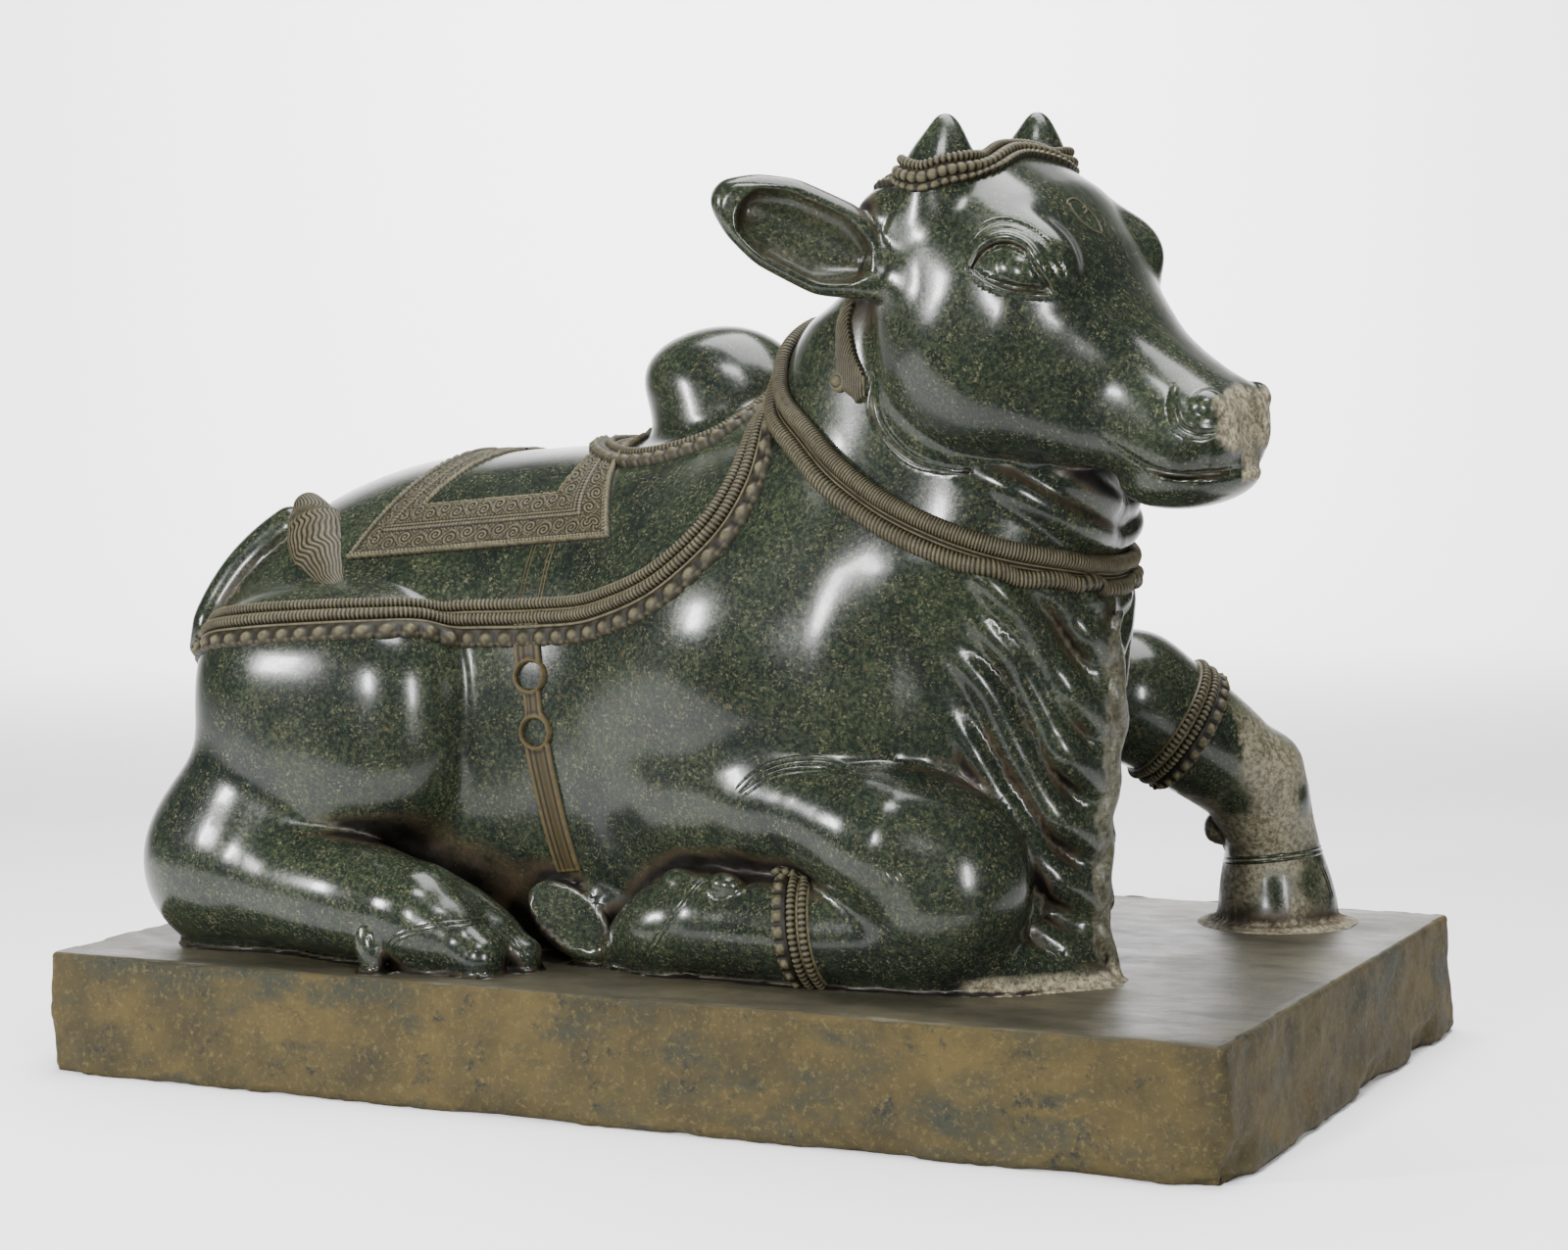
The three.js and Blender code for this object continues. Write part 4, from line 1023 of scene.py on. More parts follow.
def relief(name, course, low, high, height, step=1.5, side_step=None, depth=1.2, dark=0.5):
    """Relief beside a course between two edges. height(s, w, t) is how far it stands out of the stone."""
    s = np.linspace(0, course.length, round(course.length / step) + 1)
    edge = [np.broadcast_to(e(s) if callable(e) else float(e), s.shape) for e in (low, high)]
    least, most = edge[0].min(), edge[1].max()
    spots, outs = course.lay(least, most)
    t = np.linspace(0, 1, max(4, round((most - least) / (side_step or step)) + 1))
    w = edge[0][:, None] + (edge[1] - edge[0])[:, None] * t
    along = np.broadcast_to(s[:, None], w.shape)
    i = along / course.length * (len(course.spots) - 1)
    j = (w - least) / (most - least) * (spots.shape[1] - 1)
    lift = height(along, w, np.broadcast_to(t, w.shape)).astype(float)
    # The hollow mask starts at the level `dark` and rises where the relief lies below its softened
    # surroundings. It is painted as shade, and on the polished stone also as brown patina.
    hollow = np.clip(dark + (soft(lift, 3) - lift) / depth, 0, 1)
    lift[:, 0] = lift[:, -1] = HIDDEN
    if not course.closed:
        lift[0] = lift[-1] = HIDDEN
    return raised(name, sampled(spots, i, j), unit(sampled(outs, i, j)), lift, hollow, course.side)


def plain_bed(name, course, low, high, level, *cords, step, side_step, dark=0.5):
    """A level strip of relief, with cords along it: where across it, how high and how wide each is."""
    def height(s, w, t):
        total = level + 0 * w
        for at, tall, wide in cords:
            total = total + tall * ridge(w, at, wide)
        return total

    relief(name, course, low, high, height, step=step, side_step=side_step, dark=dark)


def swept(middle, out, across, size, turn, flat=1.0):
    """Points round a line: `size` away from it at each turn, flattened towards its ways out."""
    points = middle[:, None] + out[:, None] * (size * np.cos(turn))[..., None] * flat
    return points + across[:, None] * (size * np.sin(turn))[..., None]


def rope(name, course, aside, radius, strand, slant, depth, around=9, per=5, lift=3.0, plump=1.0):
    """A twisted or beaded cord beside a course. A strand takes up `strand` of its length."""
    s = np.linspace(0, course.length, round(course.length / strand * per) + 1)
    turn = np.radians(np.linspace(-120, 120, around))
    spots, outs = course.lay(aside - 3, aside + 3, 3)
    i = s / course.length * (len(course.spots) - 1)
    middle, out = sampled(spots, i, np.ones_like(i)), unit(sampled(outs, i, np.ones_like(i)))
    across = unit(sampled(spots, i, i * 0 + 2) - sampled(spots, i, i * 0))
    phase = s[:, None] / strand + slant * turn[None] / math.pi
    crest = np.abs(np.sin(np.pi * phase)) ** (0.8 * plump)
    points = swept(middle + out * lift, out, across, radius * (1 - depth * (1 - crest)), turn)
    # Painted shade: the hollow mask rises between the strands and on the sides that turn towards the stone.
    hollow = np.clip((1 - crest) * 1.1 + 0.45 * (np.abs(turn) / 2.1) ** 2, 0, 1)
    return finished(name, points, grid_quads(len(s), around), hollow, course.side)


# Garlands and the hump's ring.
GARLAND = [
    [52, -34, 492], [76, -100, 478], [84, -154, 445], [79, -190, 409], [61, -215, 373], [18, -223, 336],
    [-48, -207, 310], [-124, -193, 301], [-198, -203, 299], [-255, -240, 298], [-329, -252, 296],
    [-397, -246, 290], [-455, -205, 278], [-510, -100, 268], [-526, 0, 264],
]
HUMP_GARLAND = [
    [46, -33, 491], [37, -60, 478], [19, -95, 456], [-24, -106, 440], [-81, -92, 434], [-125, -52, 441],
    [-142, 0, 446],
]


def petal_row(pitch, low, high, thick, boss):
    """A hanging row of petals: scalloped edge and height, for relief()."""
    def centred(s):
        return (s / pitch) % 1 - 0.5

    def edge(s):
        return high - 0.1 * pitch * (2 * centred(s)) ** 2

    def height(s, w, t):
        c = centred(s) * pitch
        rim = ridge((1 - t) * (high - low), 2.0, 1.1)
        seam = ridge(np.abs(c), pitch / 2, 0.9) * smooth_step(0.2, 0.6, t)
        leaf = ridge(np.abs(c), pitch * 0.3, 1.0) * smooth_step(0.15, 0.4, t)
        knob = np.exp(-(c**2 + (w - low - (high - low) * 0.52) ** 2) / (1.5 * boss**2))
        return thick + 0.6 * rim - 0.55 * seam + 0.4 * leaf + boss * 1.5 * knob

    return edge, height


def petals_below(name, line, root, top, step, **row):
    """The same row on the other side of a course, measured from `root` and seen from `top` on."""
    edge, height = petal_row(**row)
    relief(name, line, lambda s: root - edge(s), top, lambda s, w, t: height(s, root - w, 1 - t), step)


def garland(flank, keys, side, fine):
    """Two ropes with a cord between them, and petals below. The side that isn't seen is coarser."""
    line = Course(keys, side=side)
    strand, around, petal_step = (3.9, 9, 1.5) if fine else (6.0, 7, 2.6)
    for label, aside, radius in (("upper", -8.5, 5.2), ("lower", 4.0, 5.4)):
        rope(f"garland_{label}_{flank}", line, aside, radius, strand, slant=0.25, depth=0.26, around=around)
    cords = ((-2.2, 1.5, 1.0), (11.6, 1.8, 1.1))
    plain_bed(f"garland_bed_{flank}", line, -13.5, 14.5, 2.2, *cords, step=5.0, side_step=1.0)
    edge, height = petal_row(pitch=18.5, low=13, high=30, thick=3.6, boss=3.4)
    relief(f"garland_petals_{flank}", line, 12.0, edge, height, step=petal_step, depth=2.0)


def hump_garland(flank, keys, side):
    line = Course(keys, side=side)
    rope(f"hump_rope_{flank}", line, -5, radius=4.6, strand=4.2, slant=0.2, depth=0.22)
    plain_bed(f"hump_bed_{flank}", line, -9, 4, 2.4, step=5.0, side_step=2.0)
    edge, height = petal_row(pitch=13.0, low=1, high=16, thick=5.0, boss=2.6)
    relief(f"hump_petals_{flank}", line, 0.0, edge, height, step=1.4, depth=2.0)


garland("right", GARLAND, 1, True)
garland("left", mirrored(GARLAND), -1, False)
hump_garland("right", HUMP_GARLAND, 1)
hump_garland("left", mirrored(HUMP_GARLAND), -1)

# Lines drawn in the polished stone: the hooves' edges and creases in the skin of the bent foreleg.
HOOF_LINES = [
    [[-206, -300, 16], [-197, -311, 28], [-168, -309, 40], [-137, -295, 46], [-122, -262, 47]],
    [[-130, -280, 41], [-120, -275, 31], [-110, -272, 16], [-106, -270, 3]],
    [[-122, -268, 42], [-111, -262, 32], [-100, -258, 18], [-95, -255, 3]],
    [[4, -238, 4], [10, -243, 14], [26, -252, 33], [48, -254, 60], [62, -240, 84], [64, -220, 92]],
    [[463, 214, 60], [470, 218, 40], [474, 222, 14]],
]
SKIN_CREASES = [
    [
        [99, -249, 156], [113, -246, 171], [135, -241, 184], [161, -238, 190], [188, -235, 189],
        [215, -240, 181],
    ],
    [[102, -250, 154], [118, -250, 166], [138, -245, 177], [162, -242, 183], [186, -238, 183]],
    [[238, -268, 111], [246, -264, 98], [251, -261, 84]],
    [[249, -266, 110], [257, -262, 97], [260, -258, 85]],
]
incised_lines = []


def incised(name, keys, closed=False):
    """A fine line between two low lips that fade into the stone."""
    line = Course(keys, step=5.0, closed=closed)

    def height(s, w, t):
        ends = 1.0 if closed else smooth_step(0, 14, s) * smooth_step(0, 14, line.length - s)
        lips = ridge(np.abs(w), 2.2, 1.3)
        return 1.1 * lips * ends - 0.9 + 0.6 * ends

    made = relief(name, line, -6, 6, height, step=2.0, side_step=0.6, dark=0.0)
    ornaments.remove(made)
    incised_lines.append(made)


def coronet_keys():
    """A ring round the raised foot, where the hoof's horn begins. It is a little higher in front."""
    centre, radius, rise = np.array([413, 218, 62]), 44, 5
    turn = np.linspace(0, 2 * math.pi, 20, endpoint=False)
    ring = np.stack([radius * np.cos(turn), radius * np.sin(turn), rise * np.cos(turn)], 1)
    return (centre + ring).tolist()


for number, keys in enumerate(HOOF_LINES + SKIN_CREASES, 1):
    incised(f"line_{number}", keys)
incised("line_coronet", coronet_keys(), closed=True)

# The collar: a fine-ribbed rope above, a laid one below and a smooth double cord between.
collar = Course(COLLAR + mirrored(COLLAR[1:-1], NECK_MIDDLE)[::-1], closed=True)
ROPES = {"radius": 7.6, "lift": 4.6, "around": 11}
rope("collar_upper", collar, 10.4, strand=2.7, slant=0.0, depth=0.16, per=4, **ROPES)
rope("collar_lower", collar, -10.4, strand=3.4, slant=1.1, depth=0.17, **ROPES)
plain_bed("collar_between", collar, -5, 5, 4.2, (-1.7, 1.8, 1.0), (1.7, 1.8, 1.0), step=6.0, side_step=0.6)
# The bed round the ropes is set deep in the hollow mask, so it is painted in shade.
plain_bed("collar_bed", collar, -17, 17, 1.2, step=6.0, side_step=3.0, dark=0.9)


# The girth strap with its two rings.
GIRTH = [
    [-122, -158, 368], [-124, -168, 352], [-126, -191, 306], [-124, -198, 277], [-116, -204, 233],
    [-110, -206, 187], [-100, -205, 138], [-88, -193, 77],
]
GIRTH_RINGS = (131.0, 180.0)
GIRTH_TOP = 72.0  # above this the strap is only drawn with fine lines
GIRTH_HALF, GIRTH_NARROWING = 13, 4.5
RING_ACROSS, RING_ALONG = 18.0, 16.5


def girth(flank, keys, side):
    line = Course(keys, side=side)
    first, second = GIRTH_RINGS

    def height(s, w, t):
        narrow = smooth_step(first + 8, first + 16, s) * (1 - smooth_step(second - 18, second - 10, s))
        half = GIRTH_HALF - GIRTH_NARROWING * narrow
        lines = sum(ridge(w, at * half, 0.7) for at in (-0.62, -0.2, 0.62))
        strap = np.where(np.abs(w) < half, 3.4 - 0.9 * lines, HIDDEN)
        drawn = sum(ridge(np.abs(w), at, 0.8) for at in (8.0, 11.5))
        strap = np.where(s < GIRTH_TOP, np.where(drawn > 0.3, 1.1 * drawn, HIDDEN), strap)
        tall = HIDDEN
        for middle in GIRTH_RINGS:
            gap = np.hypot(w / RING_ACROSS, (s - middle) / RING_ALONG)
            ring = 5.6 - 13 * np.abs(gap - 0.84) ** 1.5 * 8
            tall = np.maximum(tall, np.where(gap < 1.0, ring, HIDDEN))
            strap = np.where(gap < 0.8, HIDDEN, strap)
        return np.maximum(strap, tall)

    relief(f"girth_{flank}", line, -19, 19, height, step=1.5, side_step=1.1)


girth("right", GIRTH, 1)
girth("left", mirrored(GIRTH), -1)


# Bands on the limbs: two rows of beads and a row of petals.
ANKLET = [
    [136, -176, 92], [140, -198, 95], [143, -222, 88], [152, -248, 66], [158, -254, 34], [160, -238, 6],
    [160, -226, -8],
]


def limb_band(name, keys, side, closed=False):
    line = Course(keys, step=5.0, closed=closed, side=side)
    for row, aside in (("a", 1.0), ("b", 11.0)):
        rope(f"{name}_beads_{row}", line, aside, radius=3.8, strand=4.6, slant=0, depth=0.4, per=6)
    cords = ((6.0, 1.2, 0.9), (15.0, 0.8, 0.9))
    plain_bed(f"{name}_bed", line, -3.5, 16, 2.0, *cords, step=3.0, side_step=1.0)
    petals_below(
        f"{name}_petals", line, root=0, top=-2.5, step=1.3, pitch=13.0, low=3, high=17, thick=3.6, boss=2.6
    )


limb_band("anklet", ANKLET, 1)


def ring_round(centre, axis, radius):
    """Key points of a circle about an axis."""
    axis = unit(np.array(axis, float))
    side = unit(np.cross([0, 0, 1.0], axis))
    up = np.cross(axis, side)
    turn = np.linspace(0, 2 * math.pi, 14, endpoint=False)[:, None]
    return (np.array(centre, float) + radius * (np.cos(turn) * side + np.sin(turn) * up)).tolist()


limb_band("armlet", ring_round((349, 144, 186), (0.7, 0.48, -0.54), 52), -1, closed=True)

# The head band.
HEAD_BAND = [
    [-8, 0, 690], [4, -40, 688], [30, -70, 682], [61, -91, 673], [88, -105, 667], [103, -100, 671],
    [114, -88, 673], [120, -60, 675], [114, 0, 686],
]
band_keys = from_head(HEAD_BAND + mirrored(HEAD_BAND[1:-1])[::-1]).tolist()
head_band = Course(band_keys, step=5.0, closed=True)
rope("head_band_upper", head_band, 6.5, radius=4.2, strand=4.4, slant=0, depth=0.42, per=6)
rope("head_band_lower", head_band, -3.0, radius=4.8, strand=7.2, slant=0, depth=0.3, per=7, plump=0.6)
plain_bed("head_band_bed", head_band, -8, 11, 2.2, step=4.0, side_step=2.0)
petals_below(
    "head_band_drops", head_band, root=-6, top=-6.0, step=1.1, pitch=7.2, low=1, high=9, thick=3.6, boss=1.7
)


# The saddle cloth's border: a band of relief inside the hem, the rear edge and the front edge.
def scroll(s, w, pitch, width):
    """Curling tendrils in low relief: spirals in turn on either side of a waving stem."""
    cell = np.floor(s / pitch)
    c = (s / pitch - cell - 0.5) * pitch
    hand = np.where(cell % 2 == 0, 1.0, -1.0)
    dx, dy = c, w - 0.12 * width * hand
    away, turn = np.hypot(dx, dy), np.arctan2(dy * hand, dx)
    curl = np.cos(2 * math.pi * away / 3.4 - turn * hand)
    stem = ridge(w, -0.3 * width * hand * np.cos(math.pi * c / pitch), 1.1)
    leaf = np.cos(s * 1.9 + 1.3 * np.sin(w * 1.1)) * np.cos(w * 1.7 + np.sin(s * 0.8))
    inside = smooth_step(pitch * 0.5, pitch * 0.36, away)
    return inside * curl + (1 - inside) * leaf * 0.8 + stem


BORDER_WIDTH = 52  # the pattern's width, which each edge stretches to its own
ROPE_END, SCROLL_END, BEADS_END, SCROLL_HEIGHT = 5, 25, 32, 0.6
BORDER_GROOVES = (5.2, 25, 32, 50.5)


def border_pattern(s, w):
    """Height across the border, w from 0 at its outer edge to 1: rope, scrolls, beads, scrolls."""
    mm = w * BORDER_WIDTH
    twist = np.abs(np.sin(math.pi * (s / 3.6 + mm * 0.15)))
    bead = np.abs(np.sin(math.pi * s / 3.2) * np.sin(math.pi * (mm - SCROLL_END) / 3.5))
    outer = np.where(mm < ROPE_END, 4.4 + 1.5 * twist, 0)
    scrolls = 3.0 + SCROLL_HEIGHT * scroll(s, mm - 15, 15, 20)
    scrolls = np.where((mm >= ROPE_END) & (mm < SCROLL_END), scrolls, 0)
    beads = np.where((mm >= SCROLL_END) & (mm < BEADS_END), 3.4 + 1.1 * bead, 0)
    inner = np.where(mm >= BEADS_END, 3.0 + SCROLL_HEIGHT * scroll(s + 7, mm - 42, 13, 19), 0)
    grooves = sum(ridge(mm, at, 0.6) for at in BORDER_GROOVES)
    return outer + scrolls + beads + inner - 1.0 * grooves


CLOTH_ROWS = np.arange(-345, -30, 7.0)  # where the rows across the back lie along it
CLOTH_COLUMNS = 40
CLOTH_HALF, CLOTH_TOP, CLOTH_DROP = 235, 470, 150
CLOTH_HEM, CLOTH_REAR, CLOTH_FRONT = 345, -315, -51
HEM_WIDTH, REAR_WIDTH, FRONT_WIDTH, FRONT_WIDENING = 43.0, 34.0, 40.0, 26


def cloth_border(name, side, step):
    down = np.linspace(0, 1, CLOTH_COLUMNS)
    rows = []
    for x in CLOTH_ROWS:
        y = -side * CLOTH_HALF * down
        z = CLOTH_TOP - CLOTH_DROP * down**1.6
        line = settle(carved, np.stack([np.full(CLOTH_COLUMNS, x), y, z], 1), rounds=5, most=40)
        rows.append(even(line, CLOTH_COLUMNS))
    nodes = np.array(rows)
    nodes[:, 0, 1] = 0.0
    outs = unit(slope_of(carved, nodes.reshape(-1, 3), SLOPE_STEP)).reshape(nodes.shape)
    arc = np.linalg.norm(np.diff(nodes, axis=1), axis=2).sum(1).mean()
    rows_out = np.linspace(0, len(CLOTH_ROWS) - 1, round((CLOTH_ROWS[-1] - CLOTH_ROWS[0]) / step))
    columns_out = np.linspace(0, CLOTH_COLUMNS - 1, round(arc / step))
    i, j = np.meshgrid(rows_out, columns_out, indexing="ij")
    base, out = sampled(nodes, i, j), unit(sampled(outs, i, j))
    x, z = base[..., 0], base[..., 2]
    hem = CLOTH_HEM + 0.08 * (x - CLOTH_REAR) - z
    rear = CLOTH_REAR + 0.45 * (z - CLOTH_HEM) - x
    front = x - CLOTH_FRONT + 0.55 * (z - 366)
    front_width = FRONT_WIDTH + FRONT_WIDENING * smooth_step(440, 385, z)
    inward = np.stack([-hem / HEM_WIDTH, -rear / REAR_WIDTH, -front / front_width], -1)
    w = inward.min(-1)
    along = np.where(inward.argmin(-1) == 0, x, z * 1.25)
    lift = np.where((w > 0) & (w < 1), border_pattern(along, w), HIDDEN)
    # The hollow mask rises where the border lies below its softened surroundings; it is painted as shade.
    hollow = np.clip(0.5 + (soft(lift, 2) - lift) / 1.1, 0, 1)
    return raised(name, base, out, lift, np.where(lift < 0, 1.0, hollow), side)


cloth_border("cloth_right", 1, 1.0)
cloth_border("cloth_left", -1, 2.4)


# The tail comes over the rump as a smooth band and ends in a tuft with waving hair.
TUFT = [
    [-396, -144, 398, 14], [-386, -145, 391, 24], [-377, -149, 377, 29], [-365, -160, 359, 28],
    [-347, -177, 342, 21], [-326, -197, 327, 13], [-304, -217, 311, 4],
]
TUFT_STEPS = 150  # along it, and round it
TUFT_GROOVES = 15  # half as many as there are locks
TUFT_FLATNESS = 0.8
TUFT_CLOSING = 0.12  # the share of its half length over which each end closes


def tuft_mesh():
    keys = np.array(TUFT, float)
    path = even(catmull_rom(keys[:, :3], 200), TUFT_STEPS)
    radius = profile(list(enumerate(keys[:, 3])))(np.linspace(0, len(keys) - 1, TUFT_STEPS))
    along = unit(np.gradient(path, axis=0))
    out = unit(slope_of(carved, path, 3.0))
    out = unit(out - along * (out * along).sum(1)[:, None])
    across = np.cross(out, along)
    turn = np.radians(np.linspace(-180, 180, TUFT_STEPS))
    s = np.linspace(0, 1, TUFT_STEPS)
    wave = 0.16 * np.sin(s * 17) + 0.05 * np.sin(s * 41)
    groove = np.abs(np.sin(TUFT_GROOVES * (turn[None] + wave[:, None] * np.cos(turn)[None])))
    past = np.clip(np.abs(2 * s - 1) - (1 - TUFT_CLOSING), 0, TUFT_CLOSING)
    closing = np.sqrt(np.clip(1 - past**2 / TUFT_CLOSING**2, 0, 1))
    size = (radius * closing)[:, None] * (1 - 0.05 * (1 - groove))
    points = swept(path, out, across, size, turn, TUFT_FLATNESS)
    # Painted shade: the hollow mask rises in the grooves between the locks and on the sides that turn
    # towards the stone.
    hollow = np.clip((1 - groove) * 1.1 + 0.3 * (np.abs(turn) / 2.2) ** 3, 0, 1)
    return finished("tail_tuft", points, grid_quads(TUFT_STEPS, TUFT_STEPS), hollow, 1)


tuft_mesh()


# The tassel behind the jaw.
TASSEL = [
    [188, -190, 562], [184, -196, 545], [186, -200, 529], [190, -204, 511], [200, -208, 490],
    [205, -209, 482],
]
TASSEL_BOSS = [[178, -202, 505], [183, -203, 496], [187, -205, 487]]
BOSS_RADIUS, BOSS_HEIGHT = 9, 8.5
tassel_half = profile([[0, 5], [35, 8], [70, 12], [84, 6]])


def strands(s, w, t):
    swell = np.sqrt(np.clip(1 - (2 * t - 1) ** 2, 0, 1))
    return 2.2 + 4.0 * swell + 0.9 * np.sin((s * 0.75 + w * 1.6) * 1.7)


def boss(s, w, t):
    away = np.hypot(w, s - BOSS_RADIUS) / BOSS_RADIUS
    dome = BOSS_HEIGHT * np.sqrt(np.clip(1 - away**2, 0, 1)) - 1.4 * ridge(away, 0.55, 0.12)
    return np.where(away < 1, dome, HIDDEN)


tassel_line = Course(TASSEL, step=5.0)
relief("tassel", tassel_line, lambda s: -tassel_half(s), tassel_half, strands, step=0.9, depth=1.6)
relief("tassel_boss", Course(TASSEL_BOSS, step=3.0), -BOSS_RADIUS, BOSS_RADIUS, boss, 1.0)

# The mark on the forehead: a leaf with a curl at its stem, in fine raised line.
LEAF_MARK = [
    [[197, -7, 612], [194, -17, 615], [191, -23, 620], [186, -27, 627], [180, -28, 634], [176, -24, 639]],
    [[197, -7, 612], [191, -2, 620], [186, -1, 626], [182, -5, 632], [179, -11, 634]],
    [[182, -25, 632], [177, -29, 638], [175, -17, 642], [177, -9, 639], [182, -7, 632], [184, -15, 629]],
]
for number, keys in enumerate(LEAF_MARK, 1):
    line = Course(from_head(keys).tolist(), step=4.0)
    relief(f"mark_{number}", line, -1.3, 1.3, lambda s, w, t: 0.5 + 0.5 * np.sin(np.pi * t), 2.0, 0.4)


# The slab: a hewn block with worn edges, sides that are not quite straight and its corners knocked off.
SLAB_LOW = np.array([-550.0, -330.0, -SLAB_HEIGHT])
SLAB_HIGH = np.array([550.0, 317.0, 0.0])
SLAB_STEPS = (7, 7, 4.5)
SLAB_ROUNDING = np.array([9.0, 9.0, 5.0])
SLAB_LEAN = ([0, 7, 48, 101, 108], [6, 8, 4, 0, 0])  # heights, and how far the sides stand out there
SLAB_CHIPS = [  # along and across the slab, how wide, how deep, and how high up the side
    (1.01, 0, 55, 15, 34), (1.01, 0.82, 45, 13, 26), (1.01, 0.6, 60, 10, 22), (0, 0.03, 50, 9, 60),
    (0.73, 0, 50, 6, 14), (0.445, 0, 70, 5, 12), (0.9, 0, 40, 7, 16), (0, 1, 70, 18, 50),
    (0.61, 1, 60, 11, 24), (0, 0.57, 70, 10, 30),
]


def spread(low, high, step):
    """Marks from low to high, closer together near both ends."""
    fine, edge, easing = 2.5, 14.0, 30
    marks = [low]
    while marks[-1] < (low + high) / 2:
        off = marks[-1] - low
        marks.append(marks[-1] + fine + (step - fine) * min(1, max(0, off - edge) / easing))
    half = np.array(marks[:-1])
    return np.concatenate([half, (low + high) - half[::-1]])


def block_faces(marks):
    """The skin of a block with these marks along its axes, as points and quads."""
    points, quads, offset = [], [], 0
    for axis in range(3):
        b, c = (axis + 1) % 3, (axis + 2) % 3
        for end in (0, -1):
            u, v = np.meshgrid(marks[b], marks[c], indexing="ij")
            side = np.empty(u.shape + (3,))
            side[..., axis], side[..., b], side[..., c] = marks[axis][end], u, v
            q = grid_quads(len(marks[b]), len(marks[c])) + offset
            quads.append(q if end else q[:, ::-1])
            points.append(side.reshape(-1, 3))
            offset += u.size
    points, quads = np.concatenate(points), np.concatenate(quads)
    _, first, back = np.unique(np.round(points, 3), axis=0, return_index=True, return_inverse=True)
    return points[first], back.reshape(-1)[quads]


def slab_mesh():
    points, quads = block_faces([spread(*ends) for ends in zip(SLAB_LOW, SLAB_HIGH, SLAB_STEPS)])
    inner = np.clip(points, SLAB_LOW + SLAB_ROUNDING, SLAB_HIGH - SLAB_ROUNDING)
    way = unit((points - inner) / SLAB_ROUNDING)
    worn = inner + way * SLAB_ROUNDING
    up = worn[:, 2] + SLAB_HEIGHT
    flank = np.linalg.norm(way[:, :2], axis=1)
    deep = -np.interp(up, *SLAB_LEAN)
    for height, size, seed in ((1.6, 70, 1), (1.3, 26, 2), (0.9, 11, 3)):
        deep = deep + height * noise(worn, size, seed)
    for along, across, wide, depth, tall in SLAB_CHIPS:
        spot = (SLAB_LOW + (SLAB_HIGH - SLAB_LOW) * (along, across, 0))[:2]
        far = np.linalg.norm(worn[:, :2] - spot, axis=1) / wide + 0.25 * noise(worn, 16, 4)
        chip = np.clip(1 - far**2, 0, 1) * np.clip(1.2 - up / tall + 0.3 * noise(worn, 12, 5), 0, 1)
        deep += depth * chip
    edge_wear = smooth_step(0.35, 0.75, flank) * smooth_step(0.2, 0.7, np.abs(way[:, 2]))
    nick = np.clip(noise(worn, 22, 6) - 0.3, 0, 1) * 9 + np.clip(noise(worn, 8, 7) - 0.2, 0, 1) * 5
    deep = deep * flank + nick * edge_wear
    outward = way.copy()
    outward[:, 2] = np.minimum(outward[:, 2], 0.6)
    made = worn - outward * deep[:, None]
    top = way[:, 2] > 0.9
    dip = 0.5 + 0.9 * np.clip(noise(worn, 90, 8) + 0.4, 0, 2) + 0.3 * (noise(worn, 14, 9) + 1)
    made[:, 2] -= np.where(top, dip, 0)
    underside = points[:, 2] < SLAB_LOW[2] + 0.01
    made[:, 2] = np.where(underside, -SLAB_HEIGHT, np.clip(made[:, 2], -SLAB_HEIGHT, 0))
    return mesh_object("slab", made, quads, {"top": smooth_step(0.55, 0.9, way[:, 2]), "hollow": 0 * up})


slab = slab_mesh()

# Camera: the photograph's, from a little above on the right front.
CAMERA_YAW = math.radians(26.36)


def photo_camera():
    focal_px, image_width, sensor = 3263.0, 1600.0, 36.0
    place = np.array([1303.0, -2576.0, 600.0 - SLAB_HEIGHT]) + DRAWING_SHIFT
    across, ahead = math.sin(CAMERA_YAW), math.cos(CAMERA_YAW)
    down, roll = math.radians(4.22), -0.015
    forward = Vector((-across * math.cos(down), ahead * math.cos(down), -math.sin(down)))
    right = Vector((ahead, across, 0))
    up = right.cross(forward)
    right, up = (
        math.cos(roll) * right + math.sin(roll) * up,
        -math.sin(roll) * right + math.cos(roll) * up,
    )
    turn = Matrix((right, up, -forward)).transposed().to_4x4()
    data = bpy.data.cameras.new("camera")
    data.sensor_width = sensor
    data.lens = focal_px / image_width * sensor
    data.clip_end = 50
    made = placed("camera", data)
    made.matrix_world = Matrix.Translation(Vector(place * MM)) @ turn
    bpy.context.scene.camera = made


photo_camera()

for piece in (torso, neck_head, slab, *incised_lines, *ornaments):
    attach(piece, "root")
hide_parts(NODE)


